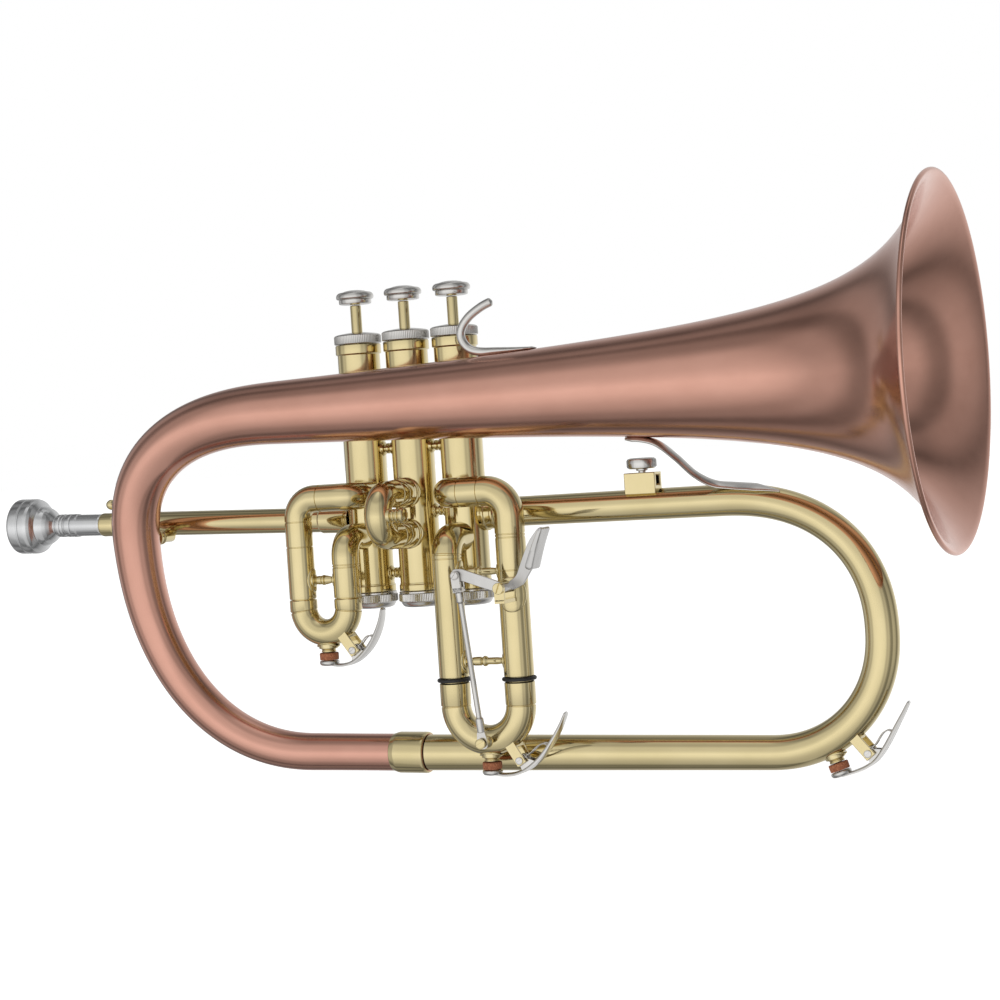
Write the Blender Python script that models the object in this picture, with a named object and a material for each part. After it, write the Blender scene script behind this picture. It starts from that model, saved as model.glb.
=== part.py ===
"""Flugelhorn with a copper bell, three piston valves, three tuning slides and a third-slide trigger.

World frame, metres: +X towards the bell, +Z up along the valves, the player's right side faces -Y.
The origin is on the axis of valve 2, at the height of the bell axis. Lengths below are in millimetres.
"""

import math

import bmesh
import bpy
from mathutils import Matrix, Vector

MM = 0.001
GAP = 0.3

# Valves
VALVE_PITCH = 24.0
CASING_R = 9.5
CASING_BORE_R = 8.6
CASING_TOP = 28.4
CASING_BOTTOM = -83.0
CAP_R = 10.6
TOP_CAP_H = 5.2
BOTTOM_CAP_H = 7.2
PISTON_R = 8.3
PISTON_TOP = 6.0
PISTON_BOTTOM = -60.0
STEM_R = 2.45
BUTTON_R = 8.45
BUTTON_Z = 46.4
BUTTON_H = 6.7

# Bell and its bow
BELL_Y = -28.0
BELL_END_X = 249.6
BELL_RIM_R = 76.2
BELL_WALL = 0.9
FLARE_BASE = 17.602
FLARE_SLOPE = 0.0195
FLARE_SCALE = 17667.0
FLARE_SHIFT = 41.56
FLARE_POWER = 1.535
BOW_START_X = -52.8
BOW_LEFT = (-134.4, -59.1)
BOW_TOP_POWER = 2.48
BOW_LOW_POWER = 2.21
BOW_LOW_Z = -154.3
TAIL_END = Vector((3.2, -9.5, -155.0))
TAIL_R = 8.3
BOW_TAPER = 1.7
BELL_JOINT_X = -50.0

# Main tube
CROOK_TOP_Z = -50.4
CROOK_TOP_X = 143.6
CROOK_RIGHT = (209.3, -108.5)
CROOK_BOTTOM = Vector((160.8, -4.6, -156.9))
CROOK_TOP_POWER = 2.25
CROOK_LOW_POWER = 2.1
MAIN_R_TOP = 6.5
MAIN_R_LOW = 8.0
FERRULE_R = 9.2

# Leadpipe, mouthpipe and mouthpiece
PIPE_SLOPE = math.radians(1.6)
PIPE_START = Vector((-33.7, 0.0, -50.0))
PIPE_R = 5.65
MOUTHPIPE_R = 4.6
PIPE_END_L = 128.0
RECEIVER_L = 125.3
MOUTHPIECE_L = 180.0
MOUTHPIECE_RIM_R = 13.2

# First slide
S1_Y = -26.0
S1_LEFT_X = -46.4
S1_RIGHT_X = -24.0
S1_TOP_Z = -39.2
S1_PORT_X = -18.0
S1_LOW_PORT_Z = -57.5
S1_R = 6.05
S1_LEG_END = -83.5
S1_BOW_Z = -98.9

# Second slide
S2_TOP_Z = -39.2
S2_LOW_Z = -57.4
S2_R = 6.05
S2_LEG_END = -18.0
S2_BOW_Y = -38.9

# Third slide
S3_Y = -24.2
S3_LEFT_X = 24.5
S3_RIGHT_X = 55.2
S3_TOP_Z = -40.2
S3_LOW_PORT_Z = -60.0
S3_R = 6.55
S3_LEG_END = -120.1
S3_BOW_Z = -147.7
S3_BRACE_Z = (-74.8, -113.5)

SLIDE_WALL = 0.7
LEG_PLAY = 0.35
FERRULE_H = 5.2
ORING_H = 1.7

# Trigger
TRIGGER_PIVOT = Vector((57.0, -37.5, -81.2))
TRIGGER_EYE = Vector((36.8, -41.6, -74.9))
TRIGGER_HORN_Y = -33.6
ROD_LUG = Vector((41.05, -36.0, -147.6))
ROD_PLAY = 0.48

# Water keys: the hinge and the line of each lever are measured from the foot of its nipple
KEY_WIDTH = 6.0
KEY_SCALE = 0.86
CUP_TOP = 6.4
SLIDE_1_KEY_HINGE = (16.3, -2.2)
SLIDE_1_KEY_LINE = [(0.0, -9.2), (6.0, -9.9), (12.0, -9.2), (18.0, -6.2), (24.0, -0.6), (28.4, 6.0),
                    (31.3, 13.0), (32.5, 19.0)]
SLIDE_3_KEY_HINGE = (17.2, -2.4)
SLIDE_3_KEY_LINE = [(0.0, -9.2), (7.0, -9.9), (14.0, -9.1), (20.9, -6.0), (27.9, -0.2), (33.7, 7.0),
                    (38.4, 14.3), (41.9, 21.3)]
MAIN_KEY_FOOT = Vector((186.6, -4.1, -158.6))
MAIN_KEY_TURN = math.radians(18.0)
MAIN_KEY_SCALE = 0.92
MAIN_KEY_HINGE = (16.0, -3.6)
MAIN_KEY_LINE = [(0.0, -9.2), (7.5, -9.3), (13.0, -8.8), (18.4, -6.9), (25.0, -2.1), (32.0, 4.1),
                 (36.9, 8.4), (41.2, 12.4)]

# Fittings
HOOK_THICK = 3.8
LYRE_X = 108.7
LYRE_Y = -1.5

# Segments
SEG_TUBE = 12
SEG_BELL = 20
SEG_ROUND = 16
SEG_CUT = 20


# ---------------------------------------------------------------- helpers

def clear_scene():
    for ob in list(bpy.data.objects):
        bpy.data.objects.remove(ob, do_unlink=True)


MATERIALS = {
    "lacquered_brass": ((0.80, 0.60, 0.24, 1.0), 0.20, 1.0),
    "copper_bell": ((0.72, 0.34, 0.24, 1.0), 0.24, 1.0),
    "nickel_plate": ((0.60, 0.59, 0.57, 1.0), 0.28, 1.0),
    "silver_plate": ((0.70, 0.70, 0.70, 1.0), 0.30, 1.0),
    "cork": ((0.42, 0.16, 0.08, 1.0), 0.85, 0.0),
    "rubber": ((0.02, 0.02, 0.02, 1.0), 0.60, 0.0),
}


def material(name):
    mat = bpy.data.materials.get(name)
    if mat is None:
        color, rough, metal = MATERIALS[name]
        mat = bpy.data.materials.new(name)
        mat.use_nodes = True
        bsdf = mat.node_tree.nodes["Principled BSDF"]
        bsdf.inputs["Base Color"].default_value = color
        bsdf.inputs["Roughness"].default_value = rough
        bsdf.inputs["Metallic"].default_value = metal
        mat.diffuse_color = color
    return mat


def make_object(name, verts, faces, mat, origin=(0.0, 0.0, 0.0)):
    """Build a mesh object from millimetre vertices, its origin at the given millimetre point."""
    pivot = Vector(origin)
    mesh = bpy.data.meshes.new(name)
    mesh.from_pydata([(Vector(v) - pivot) * MM for v in verts], [], faces)
    bm = bmesh.new()
    bm.from_mesh(mesh)
    bmesh.ops.remove_doubles(bm, verts=bm.verts, dist=1e-6)
    bmesh.ops.recalc_face_normals(bm, faces=bm.faces)
    bmesh.ops.triangulate(bm, faces=bm.faces)
    bm.to_mesh(mesh)
    bm.free()
    mesh.materials.append(material(mat))
    ob = bpy.data.objects.new(name, mesh)
    ob.location = pivot * MM
    bpy.context.scene.collection.objects.link(ob)
    return ob


def frame_at(direction, up_hint):
    """Two unit vectors square to a direction, the second nearest the hint."""
    d = Vector(direction).normalized()
    up = Vector(up_hint)
    up = (up - d * up.dot(d)).normalized()
    side = up.cross(d).normalized()
    return side, up


def filleted(corners, radii, steps):
    """A path through the corners, each inner one rounded by its radius in the given number of steps."""
    pts = [Vector(corners[0])]
    for i in range(1, len(corners) - 1):
        a = Vector(corners[i - 1])
        b = Vector(corners[i])
        c = Vector(corners[i + 1])
        u = (a - b).normalized()
        w = (c - b).normalized()
        half = u.angle(w) / 2.0
        reach = radii[i - 1] / math.tan(half)
        centre = b + (u + w).normalized() * (radii[i - 1] / math.sin(half))
        p = b + u * reach
        q = b + w * reach
        e1 = p - centre
        turn = math.pi - 2.0 * half
        e2 = ((q - centre) - e1 * math.cos(turn)) / math.sin(turn)
        for k in range(steps + 1):
            t = turn * k / steps
            pts.append(centre + e1 * math.cos(t) + e2 * math.sin(t))
    pts.append(Vector(corners[-1]))
    clean = [pts[0]]
    for p in pts[1:]:
        if (p - clean[-1]).length > 0.05:
            clean.append(p)
    return clean


def path_lengths(path):
    out = [0.0]
    for a, b in zip(path, path[1:]):
        out.append(out[-1] + (b - a).length)
    return out


def path_frames(path):
    """Tangent, side and up at each point of a path, carried along without twist."""
    tangents = []
    for i in range(len(path)):
        a = path[max(i - 1, 0)]
        b = path[min(i + 1, len(path) - 1)]
        if 0 < i < len(path) - 1:
            d = (path[i] - a).normalized() + (b - path[i]).normalized()
        else:
            d = b - a
        tangents.append(d.normalized())
    hint = Vector((0, 0, 1)) if abs(tangents[0].z) < 0.9 else Vector((0, 1, 0))
    side, up = frame_at(tangents[0], hint)
    frames = [(tangents[0], side, up)]
    for t in tangents[1:]:
        turn = frames[-1][0].rotation_difference(t)
        up = turn @ frames[-1][2]
        side, up = frame_at(t, up)
        frames.append((t, side, up))
    return frames


def ring(centre, side, up, radius, seg, squash=1.0):
    out = []
    for k in range(seg):
        a = 2.0 * math.pi * k / seg
        out.append(centre + side * (radius * math.cos(a)) + up * (radius * squash * math.sin(a)))
    return out


def loft(rings, closed):
    """Quads between the rings; closed joins the last ring to the first, else the ends are filled."""
    seg = len(rings[0])
    verts = [v for r in rings for v in r]
    faces = []
    count = len(rings)
    for i in range(count if closed else count - 1):
        a = i * seg
        b = ((i + 1) % count) * seg
        for k in range(seg):
            m = (k + 1) % seg
            faces.append((a + k, a + m, b + m, b + k))
    if not closed:
        faces.append(tuple(range(seg)))
        faces.append(tuple((count - 1) * seg + k for k in range(seg)))
    return verts, faces


def swept_rings(path, radii, seg):
    return [ring(p, f[1], f[2], r, seg) for p, f, r in zip(path, path_frames(path), radii)]


def needed_rings(path, radii, rings):
    """Drop the rings of a straight, even stretch that change nothing."""
    keep = [rings[0]]
    for i in range(1, len(path) - 1):
        before = path[i] - path[i - 1]
        after = path[i + 1] - path[i]
        bends = before.angle(after) > 1e-3
        steps = abs(radii[i] - radii[i - 1]) > 1e-6 or abs(radii[i] - radii[i + 1]) > 1e-6
        if bends or steps:
            keep.append(rings[i])
    return keep + [rings[-1]]


def tube(name, path, outer, inner, mat, seg=SEG_TUBE, origin=(0, 0, 0)):
    """A pipe along a path, open at both ends; inner None makes it a solid rod."""
    count = len(path)
    outer = outer if isinstance(outer, list) else [outer] * count
    rings = needed_rings(path, outer, swept_rings(path, outer, seg))
    if inner is None:
        verts, faces = loft(rings, False)
    else:
        inner = inner if isinstance(inner, list) else [inner] * count
        rings += needed_rings(path, inner, swept_rings(path, inner, seg))[::-1]
        verts, faces = loft(rings, True)
    return make_object(name, verts, faces, mat, origin)


def lathe(name, profile, base, direction, mat, seg=SEG_ROUND, origin=(0, 0, 0), hollow=False):
    """Turn a profile of (radius, height) about an axis. A solid one starts and ends on the axis."""
    d = Vector(direction).normalized()
    hint = Vector((0, 0, 1)) if abs(d.z) < 0.9 else Vector((0, 1, 0))
    side, up = frame_at(d, hint)
    base = Vector(base)
    if hollow:
        rings = [ring(base + d * h, side, up, r, seg) for r, h in profile]
        verts, faces = loft(rings, True)
        return make_object(name, verts, faces, mat, origin)
    body = [(r, h) for r, h in profile if r > 1e-6]
    rings = [ring(base + d * h, side, up, r, seg) for r, h in body]
    verts, faces = loft(rings, False)
    return make_object(name, verts, faces, mat, origin)


def prism(name, outline, depth, base, side, up, mat, origin=(0, 0, 0)):
    """A flat plate: the outline in (side, up) millimetres, thickened both ways along their normal."""
    side = Vector(side).normalized()
    up = Vector(up).normalized()
    normal = side.cross(up)
    base = Vector(base)
    count = len(outline)
    low = [base + side * x + up * y - normal * (depth / 2.0) for x, y in outline]
    high = [v + normal * depth for v in low]
    faces = [tuple(range(count))[::-1], tuple(range(count, 2 * count))]
    for k in range(count):
        m = (k + 1) % count
        faces.append((k, m, count + m, count + k))
    return make_object(name, low + high, faces, mat, origin)


def strip(name, path, width, thickness, across, mat, origin=(0, 0, 0)):
    """A flat bar along a path: its width lies along the given direction, its thickness square to it."""
    across = Vector(across).normalized()
    count = len(path)
    width = width if isinstance(width, list) else [width] * count
    thickness = thickness if isinstance(thickness, list) else [thickness] * count
    rings = []
    for i, p in enumerate(path):
        d = (path[min(i + 1, count - 1)] - path[max(i - 1, 0)]).normalized()
        wide = (across - d * across.dot(d)).normalized()
        flat = d.cross(wide).normalized()
        w = wide * (width[i] / 2.0)
        t = flat * (thickness[i] / 2.0)
        rings.append([p - w - t, p + w - t, p + w + t, p - w + t])
    verts, faces = loft(rings, False)
    return make_object(name, verts, faces, mat, origin)


def smooth_path(points, steps):
    """A rounded curve through the points."""
    pts = [Vector(p) for p in points]
    out = []
    for i in range(len(pts) - 1):
        a = pts[max(i - 1, 0)]
        b = pts[i]
        c = pts[i + 1]
        d = pts[min(i + 2, len(pts) - 1)]
        for k in range(steps):
            t = k / steps
            out.append(0.5 * (2 * b + (c - a) * t + (2 * a - 5 * b + 4 * c - d) * t * t
                              + (3 * b - a - 3 * c + d) * t ** 3))
    out.append(pts[-1])
    return out


def box(name, centre, size, axes, mat="lacquered_brass", origin=(0, 0, 0)):
    """A block centred on a point, its three sizes along three square axes."""
    centre = Vector(centre)
    ax = [Vector(a).normalized() for a in axes]
    verts = []
    for i in (-1, 1):
        for j in (-1, 1):
            for k in (-1, 1):
                verts.append(centre + ax[0] * (i * size[0] / 2) + ax[1] * (j * size[1] / 2)
                             + ax[2] * (k * size[2] / 2))
    faces = [(0, 1, 3, 2), (4, 6, 7, 5), (0, 4, 5, 1), (2, 3, 7, 6), (0, 2, 6, 4), (1, 5, 7, 3)]
    return make_object(name, verts, faces, mat, origin)


def apply_boolean(ob, other, operation):
    """Cut or join two meshes for good and drop the second one."""
    mod = ob.modifiers.new("cut", "BOOLEAN")
    mod.operation = operation
    mod.solver = "EXACT"
    mod.object = other
    bpy.context.view_layer.update()
    graph = bpy.context.evaluated_depsgraph_get()
    mesh = bpy.data.meshes.new_from_object(ob.evaluated_get(graph))
    ob.modifiers.clear()
    old = ob.data
    ob.data = mesh
    mesh.name = ob.name
    bpy.data.meshes.remove(old)
    keep = ob.data.materials[0]
    ob.data.materials.clear()
    ob.data.materials.append(keep)
    for poly in ob.data.polygons:
        poly.material_index = 0
    bpy.data.objects.remove(other, do_unlink=True)
    return ob


def cut(ob, other):
    return apply_boolean(ob, other, "DIFFERENCE")


def join(ob, other):
    return apply_boolean(ob, other, "UNION")


def rod(name, a, b, radius, mat="lacquered_brass", seg=SEG_ROUND, origin=(0, 0, 0)):
    """A straight solid rod between two points."""
    return tube(name, [Vector(a), Vector(b)], radius, None, mat, seg, origin)


# ---------------------------------------------------------------- valves

def valve_x(index):
    return (index - 2) * VALVE_PITCH


def make_casing(index):
    x = valve_x(index)
    top = CASING_TOP
    low = CASING_BOTTOM
    profile = [
        (CASING_BORE_R, low), (CASING_R + 0.5, low), (CASING_R + 0.5, low + 3.0),
        (CASING_R, low + 3.6), (CASING_R, top - 4.2), (CASING_R + 0.6, top - 3.6),
        (CASING_R + 0.6, top), (CASING_BORE_R, top),
    ]
    ob = lathe("casing_%d" % index, profile, (x, 0, 0), (0, 0, 1), "lacquered_brass", hollow=True)
    ports = {
        1: [((S1_PORT_X, 0, S1_TOP_Z), (0, -1, 0)), ((S1_RIGHT_X, 0, S1_LOW_PORT_Z), (0, -1, 0)),
            ((x, 0, -50.0), (-1, 0, 0))],
        2: [((x, 0, S2_TOP_Z), (0, -1, 0)), ((x, 0, S2_LOW_Z), (0, -1, 0))],
        3: [((S3_LEFT_X, 0, S3_TOP_Z), (0, -1, 0)), ((S3_LEFT_X, 0, S3_LOW_PORT_Z), (0, -1, 0)),
            ((x, 0, CROOK_TOP_Z), (1, 0, 0))],
    }
    for place, direction in ports[index]:
        start = Vector(place) + Vector(direction) * 2.0
        end = Vector(place) + Vector(direction) * 14.0
        cut(ob, rod("port", start, end, 4.2, seg=8))
    return ob


def make_top_cap(index):
    x = valve_x(index)
    z = CASING_TOP + GAP
    profile = [
        (STEM_R + 0.35, z), (CAP_R - 0.7, z), (CAP_R, z + 0.5), (CAP_R, z + 3.6),
        (CAP_R - 0.6, z + 4.1), (CAP_R - 2.2, z + TOP_CAP_H), (STEM_R + 0.35, z + TOP_CAP_H),
    ]
    return lathe("top_cap_%d" % index, profile, (x, 0, 0), (0, 0, 1), "nickel_plate",
                 seg=18, hollow=True)


def make_bottom_cap(index):
    x = valve_x(index)
    z = CASING_BOTTOM - GAP
    drop = BOTTOM_CAP_H
    profile = [
        (1.6, z), (CAP_R - 0.3, z), (CAP_R, z - 0.4), (CAP_R, z - 4.2),
        (CAP_R - 0.7, z - 4.9), (CAP_R - 1.8, z - drop + 0.6), (CAP_R - 3.4, z - drop),
        (1.6, z - drop + 1.0),
    ]
    return lathe("bottom_cap_%d" % index, profile, (x, 0, 0), (0, 0, 1), "nickel_plate",
                 seg=18, hollow=True)


def make_piston(index):
    x = valve_x(index)
    profile = [
        (0, PISTON_BOTTOM), (PISTON_R - 0.5, PISTON_BOTTOM), (PISTON_R, PISTON_BOTTOM + 0.5),
        (PISTON_R, PISTON_TOP - 0.5), (PISTON_R - 0.5, PISTON_TOP), (STEM_R, PISTON_TOP),
        (STEM_R, BUTTON_Z - GAP), (0, BUTTON_Z - GAP),
    ]
    return lathe("piston_%d" % index, profile, (x, 0, 0), (0, 0, 1), "lacquered_brass",
                 origin=(x, 0, PISTON_TOP))


def make_button(index):
    x = valve_x(index)
    z = BUTTON_Z
    r = BUTTON_R
    profile = [
        (0, z), (STEM_R + 0.6, z), (STEM_R + 0.9, z + 0.9), (r - 1.6, z + 1.4), (r - 0.9, z + 1.9),
        (r - 1.0, z + 2.6), (r - 0.2, z + 3.0), (r, z + 3.7), (r - 0.5, z + 4.6), (r - 2.4, z + 5.7),
        (r - 5.0, z + BUTTON_H), (0, z + BUTTON_H),
    ]
    return lathe("button_%d" % index, profile, (x, 0, 0), (0, 0, 1), "nickel_plate",
                 origin=(x, 0, PISTON_TOP))


def casing_brace(name, index, z):
    """A turned spool between two neighbouring casings, hollowed to sit on both."""
    left = valve_x(index)
    span = VALVE_PITCH
    reach = 9.0
    profile = [
        (0, reach - 1.0), (3.6, reach - 1.0), (3.6, reach + 1.1), (1.9, reach + 1.7),
        (1.5, span / 2.0 - 0.7), (2.4, span / 2.0), (1.5, span / 2.0 + 0.7),
        (1.9, span - reach - 1.7), (3.6, span - reach - 1.1), (3.6, span - reach + 1.0),
        (0, span - reach + 1.0),
    ]
    ob = lathe(name, profile, (left, 0, z), (1, 0, 0), "lacquered_brass", seg=12)
    for x in (left, left + span):
        cut(ob, rod("clear", (x, 0, z - 8), (x, 0, z + 8), CASING_R + GAP, seg=SEG_CUT))
    return ob


def make_valves():
    for index in (1, 2, 3):
        make_casing(index)
        make_top_cap(index)
        make_bottom_cap(index)
        make_piston(index)
        make_button(index)
    casing_brace("brace_12_top", 1, -19.0)
    casing_brace("brace_12_low", 1, -75.0)
    casing_brace("brace_23_top", 2, -19.0)
    casing_brace("brace_23_mid", 2, -48.0)


# ---------------------------------------------------------------- bell

def flare_radius(x):
    """Outside radius of the straight part of the bell at a distance along its axis."""
    curve = FLARE_SCALE / (BELL_END_X - x + FLARE_SHIFT) ** FLARE_POWER
    return FLARE_BASE + FLARE_SLOPE * (x - BELL_END_X) + curve


def quarter_arc(flat_end, upright_end, power, steps):
    """A quarter turn in (x, z) that leaves flat_end along X and arrives at upright_end along Z."""
    points = []
    for k in range(steps + 1):
        a = math.pi / 2.0 * k / steps
        across = math.sin(a) ** (2.0 / power)
        along = max(math.cos(a), 0.0) ** (2.0 / power)
        points.append((flat_end[0] + (upright_end[0] - flat_end[0]) * across,
                       upright_end[1] + (flat_end[1] - upright_end[1]) * along))
    return points


def bow_line():
    """The line of the left bow from its tail, round and up to where the bell begins."""
    low = quarter_arc((BOW_START_X, BOW_LOW_Z), BOW_LEFT, BOW_LOW_POWER, 8)
    top = quarter_arc((BOW_START_X, 0.0), BOW_LEFT, BOW_TOP_POWER, 7)
    path = [TAIL_END]
    for x, z in low + top[-2::-1]:
        path.append(Vector((x, BELL_Y + (TAIL_END.y - BELL_Y) * z / BOW_LOW_Z, z)))
    return path + [Vector((BELL_JOINT_X - GAP, BELL_Y, 0.0))]


def bow_radii(path):
    """Outside radii along the bow: a short straight tail, then a taper up to the bell."""
    lengths = path_lengths(path)
    top = flare_radius(BELL_JOINT_X)
    grow = [max(s / lengths[-1] - 0.08, 0.0) / 0.92 for s in lengths]
    return [TAIL_R + (top - TAIL_R) * g ** BOW_TAPER for g in grow]


def make_bell_bow():
    path = bow_line()
    outer = bow_radii(path)
    inner = [r - BELL_WALL for r in outer]
    tube("bell_bow", path, outer, inner, "copper_bell", seg=SEG_BELL)


def make_bell():
    """The flare from the bow to the rolled rim, as one turned shell round the bell axis."""
    stations = [BELL_JOINT_X, 0.0, 40.0, 95.0, 135.0, 165.0, 190.0, 210.0, 225.0, 236.0, 244.0,
                BELL_END_X - 1.2]
    outer = [(flare_radius(x), x) for x in stations]
    end = stations[-1] - 0.6
    rim = BELL_RIM_R
    bead = [(rim - 0.5, end + 0.2), (rim, end + 0.9), (rim - 0.2, end + 1.9), (rim - 1.2, end + 2.1),
            (rim - 2.2, end + 1.4)]
    inner = [(flare_radius(x) - BELL_WALL, x) for x in stations[-2::-1]]
    lathe("bell", outer + bead + inner, (0, BELL_Y, 0), (1, 0, 0), "copper_bell", seg=SEG_BELL, hollow=True)


def main_path():
    """The main tube from valve 3 forward, round the crook and back to the tail of the bell."""
    top = quarter_arc((CROOK_TOP_X, CROOK_TOP_Z), CROOK_RIGHT, CROOK_TOP_POWER, 7)
    low = quarter_arc((CROOK_BOTTOM.x, CROOK_BOTTOM.z), CROOK_RIGHT, CROOK_LOW_POWER, 7)
    path = [Vector((34.2, 0, CROOK_TOP_Z))]
    for x, z in top + low[-2::-1]:
        path.append(Vector((x, CROOK_BOTTOM.y * (CROOK_TOP_Z - z) / (CROOK_TOP_Z - CROOK_BOTTOM.z), z)))
    return path + [TAIL_END + Vector((GAP, 0, 0))]


def make_main_tube():
    path = main_path()
    lengths = path_lengths(path)
    outer = [MAIN_R_TOP + (MAIN_R_LOW - MAIN_R_TOP) * (s / lengths[-1]) ** 1.2 for s in lengths]
    inner = [r - SLIDE_WALL for r in outer]
    ob = tube("main_tube", path, outer, inner, "lacquered_brass")
    cut(ob, rod("clear", (VALVE_PITCH, 0, CROOK_TOP_Z - 12), (VALVE_PITCH, 0, CROOK_TOP_Z + 12),
                CASING_R + GAP, seg=SEG_CUT))
    add_nipple(ob, MAIN_KEY_FOOT, key_point(MAIN_KEY_FOOT, MAIN_KEY_TURN, 1.0, 0, -1) - MAIN_KEY_FOOT)


def make_tail_ferrule():
    """The sleeve round the joint of the tail and the main tube."""
    a = TAIL_END + Vector((-16.9, 0, 0.25))
    b = TAIL_END + Vector((-0.2, 0, 0))
    ob_path = [a, a + Vector((0.8, 0, 0)), b - Vector((0.8, 0, 0)), b]
    return tube("bell_ferrule", ob_path, [FERRULE_R - 0.5, FERRULE_R, FERRULE_R, FERRULE_R - 0.3],
                TAIL_R + GAP, "lacquered_brass", seg=SEG_BELL)


# ---------------------------------------------------------------- leadpipe and mouthpiece

def pipe_point(length):
    d = Vector((-math.cos(PIPE_SLOPE), 0, math.sin(PIPE_SLOPE)))
    return PIPE_START + d * length


def pipe_lathe(name, profile, mat, hollow=True, seg=SEG_TUBE):
    d = Vector((-math.cos(PIPE_SLOPE), 0, math.sin(PIPE_SLOPE)))
    return lathe(name, profile, PIPE_START, d, mat, seg=seg, hollow=hollow)


def make_leadpipe():
    end = PIPE_END_L - 20.0
    profile = [
        (PIPE_R - 0.7, 0.0), (PIPE_R + 0.5, 0.0), (PIPE_R + 0.5, 14.0), (PIPE_R, 14.6),
        (PIPE_R, end), (PIPE_R - 0.7, end),
    ]
    ob = pipe_lathe("leadpipe", profile, "lacquered_brass")
    return ob


def make_mouthpipe():
    """The inner pipe, with the plain receiver for the mouthpiece at its end."""
    end = RECEIVER_L
    profile = [
        (3.6, 70.0), (MOUTHPIPE_R, 70.0), (MOUTHPIPE_R, end - 1.2), (5.4, end - 0.5), (5.6, end + 6.2),
        (5.3, end + 7.0), (5.05, end + 7.0), (4.85, end - 0.9), (3.6, end - 0.9),
    ]
    return pipe_lathe("mouthpipe", profile, "lacquered_brass")


def make_mouthpiece():
    """Shank, two turned rings, round bowl and the wide cylindrical rim."""
    tip = RECEIVER_L - 0.4
    top = MOUTHPIECE_L
    rim = MOUTHPIECE_RIM_R
    profile = [
        (2.0, tip), (4.4, tip), (4.7, RECEIVER_L + 7.0), (5.1, RECEIVER_L + 8.0), (5.15, top - 34.4),
        (5.5, top - 33.7), (5.5, top - 28.0), (4.7, top - 27.4), (5.5, top - 26.7), (5.5, top - 22.8),
        (4.4, top - 21.7), (7.0, top - 19.6), (8.8, top - 17.0), (9.6, top - 13.9), (11.2, top - 13.0),
        (12.7, top - 11.6), (rim, top - 10.2), (rim, top - 1.4), (rim - 0.9, top - 0.2), (rim - 2.4, top),
        (rim - 4.0, top - 0.9), (rim - 4.8, top - 3.4), (6.9, top - 11.0), (4.2, top - 17.0),
        (2.0, top - 24.0),
    ]
    return pipe_lathe("mouthpiece", profile, "silver_plate", seg=SEG_ROUND)


def screw_axis():
    """The lock screw leans up and back to the player from the collar."""
    return pipe_point(PIPE_END_L - 10.5), Vector((-0.71, 0.0, 0.70)).normalized()


def make_clamp():
    """Collar round the end of the leadpipe with a boss and lock screw for the mouthpipe."""
    base, d = screw_axis()
    step = PIPE_END_L - 19.5
    outline = [(0, step - 2.5), (PIPE_R + 1.2, step - 2.5), (PIPE_R + 1.2, step + 14.0), (0, step + 14.0)]
    collar = pipe_lathe("clamp", outline, "lacquered_brass", hollow=False)
    boss = [(0, 4.0), (2.2, 4.0), (2.2, 8.2), (0, 8.2)]
    join(collar, lathe("boss", boss, base, d, "lacquered_brass", seg=10))
    cut(collar, rod("bore", pipe_point(60), pipe_point(140), MOUTHPIPE_R + 0.35, seg=12))
    cut(collar, rod("pipe", pipe_point(60), pipe_point(step), PIPE_R + GAP, seg=12))
    cut(collar, rod("thread", base + d * 3.0, base + d * 14.0, 1.6, seg=8))
    start = base + d * 9.4
    screw = [(0, 0), (1.25, 0), (1.25, 0.5), (1.8, 0.7), (1.8, 1.3), (1.1, 1.7), (1.2, 2.2), (2.1, 3.2),
             (2.4, 4.6), (2.0, 6.0), (0, 6.8)]
    lathe("clamp_screw", screw, start, d, "lacquered_brass", seg=10, origin=start)


def make_bow_brace():
    """Short flanged post between the leadpipe and the back of the left bow."""
    x = -128.5
    z = pipe_point(95).z - 6.0
    y_bow = BELL_Y + (TAIL_END.y - BELL_Y) * (-z / -TAIL_END.z)
    post = [(0, 2.0), (3.0, 2.0), (3.0, 9.0), (4.4, 10.0), (4.4, 16.0), (0, 16.0)]
    ob = lathe("bow_brace", post, (x, 0, z), (0, -1, 0), "lacquered_brass", seg=14)
    cut(ob, rod("pipe", pipe_point(60), pipe_point(120), PIPE_R + GAP, seg=SEG_CUT))
    path = bow_line()
    radii = [r + GAP for r in bow_radii(path)]
    cut(ob, tube("bow", path, radii, None, "copper_bell", seg=SEG_BELL))
    return ob


def make_leadpipe_group():
    make_leadpipe()
    make_mouthpipe()
    make_mouthpiece()
    make_clamp()
    make_bow_brace()


# ---------------------------------------------------------------- slides

def leg_stack(outer_r, end, inner_top, gap, ferrule_h):
    """Heights and radii down one inner leg to the start of the bow: (height, outer radius)."""
    leg = outer_r - SLIDE_WALL - LEG_PLAY
    top = end - gap
    return [(inner_top, leg), (top + 0.05, leg), (top, outer_r + 0.2),
            (top - ferrule_h, outer_r + 0.2), (top - ferrule_h - 0.15, outer_r - 0.1)]


def outer_tube(name, corners, bends, radius, casing_x, band=None):
    """A fixed slide tube with a band at its open end, cut to sit against its casing."""
    path = filleted(corners, bends, 4)
    last = path[-1]
    d = (path[-1] - path[-2]).normalized()
    path = path[:-1] + [last - d * 14.0, last - d * 13.9, last]
    if band:
        radii = [radius] * (len(path) - 2) + [radius + band, radius + band]
    else:
        radii = [radius] * len(path)
    ob = tube(name, path, radii, radius - SLIDE_WALL, "lacquered_brass")
    cut(ob, rod("clear", (casing_x, 0, corners[0][2] - 12), (casing_x, 0, corners[0][2] + 12),
                CASING_R + GAP, seg=SEG_CUT))
    return ob


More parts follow.
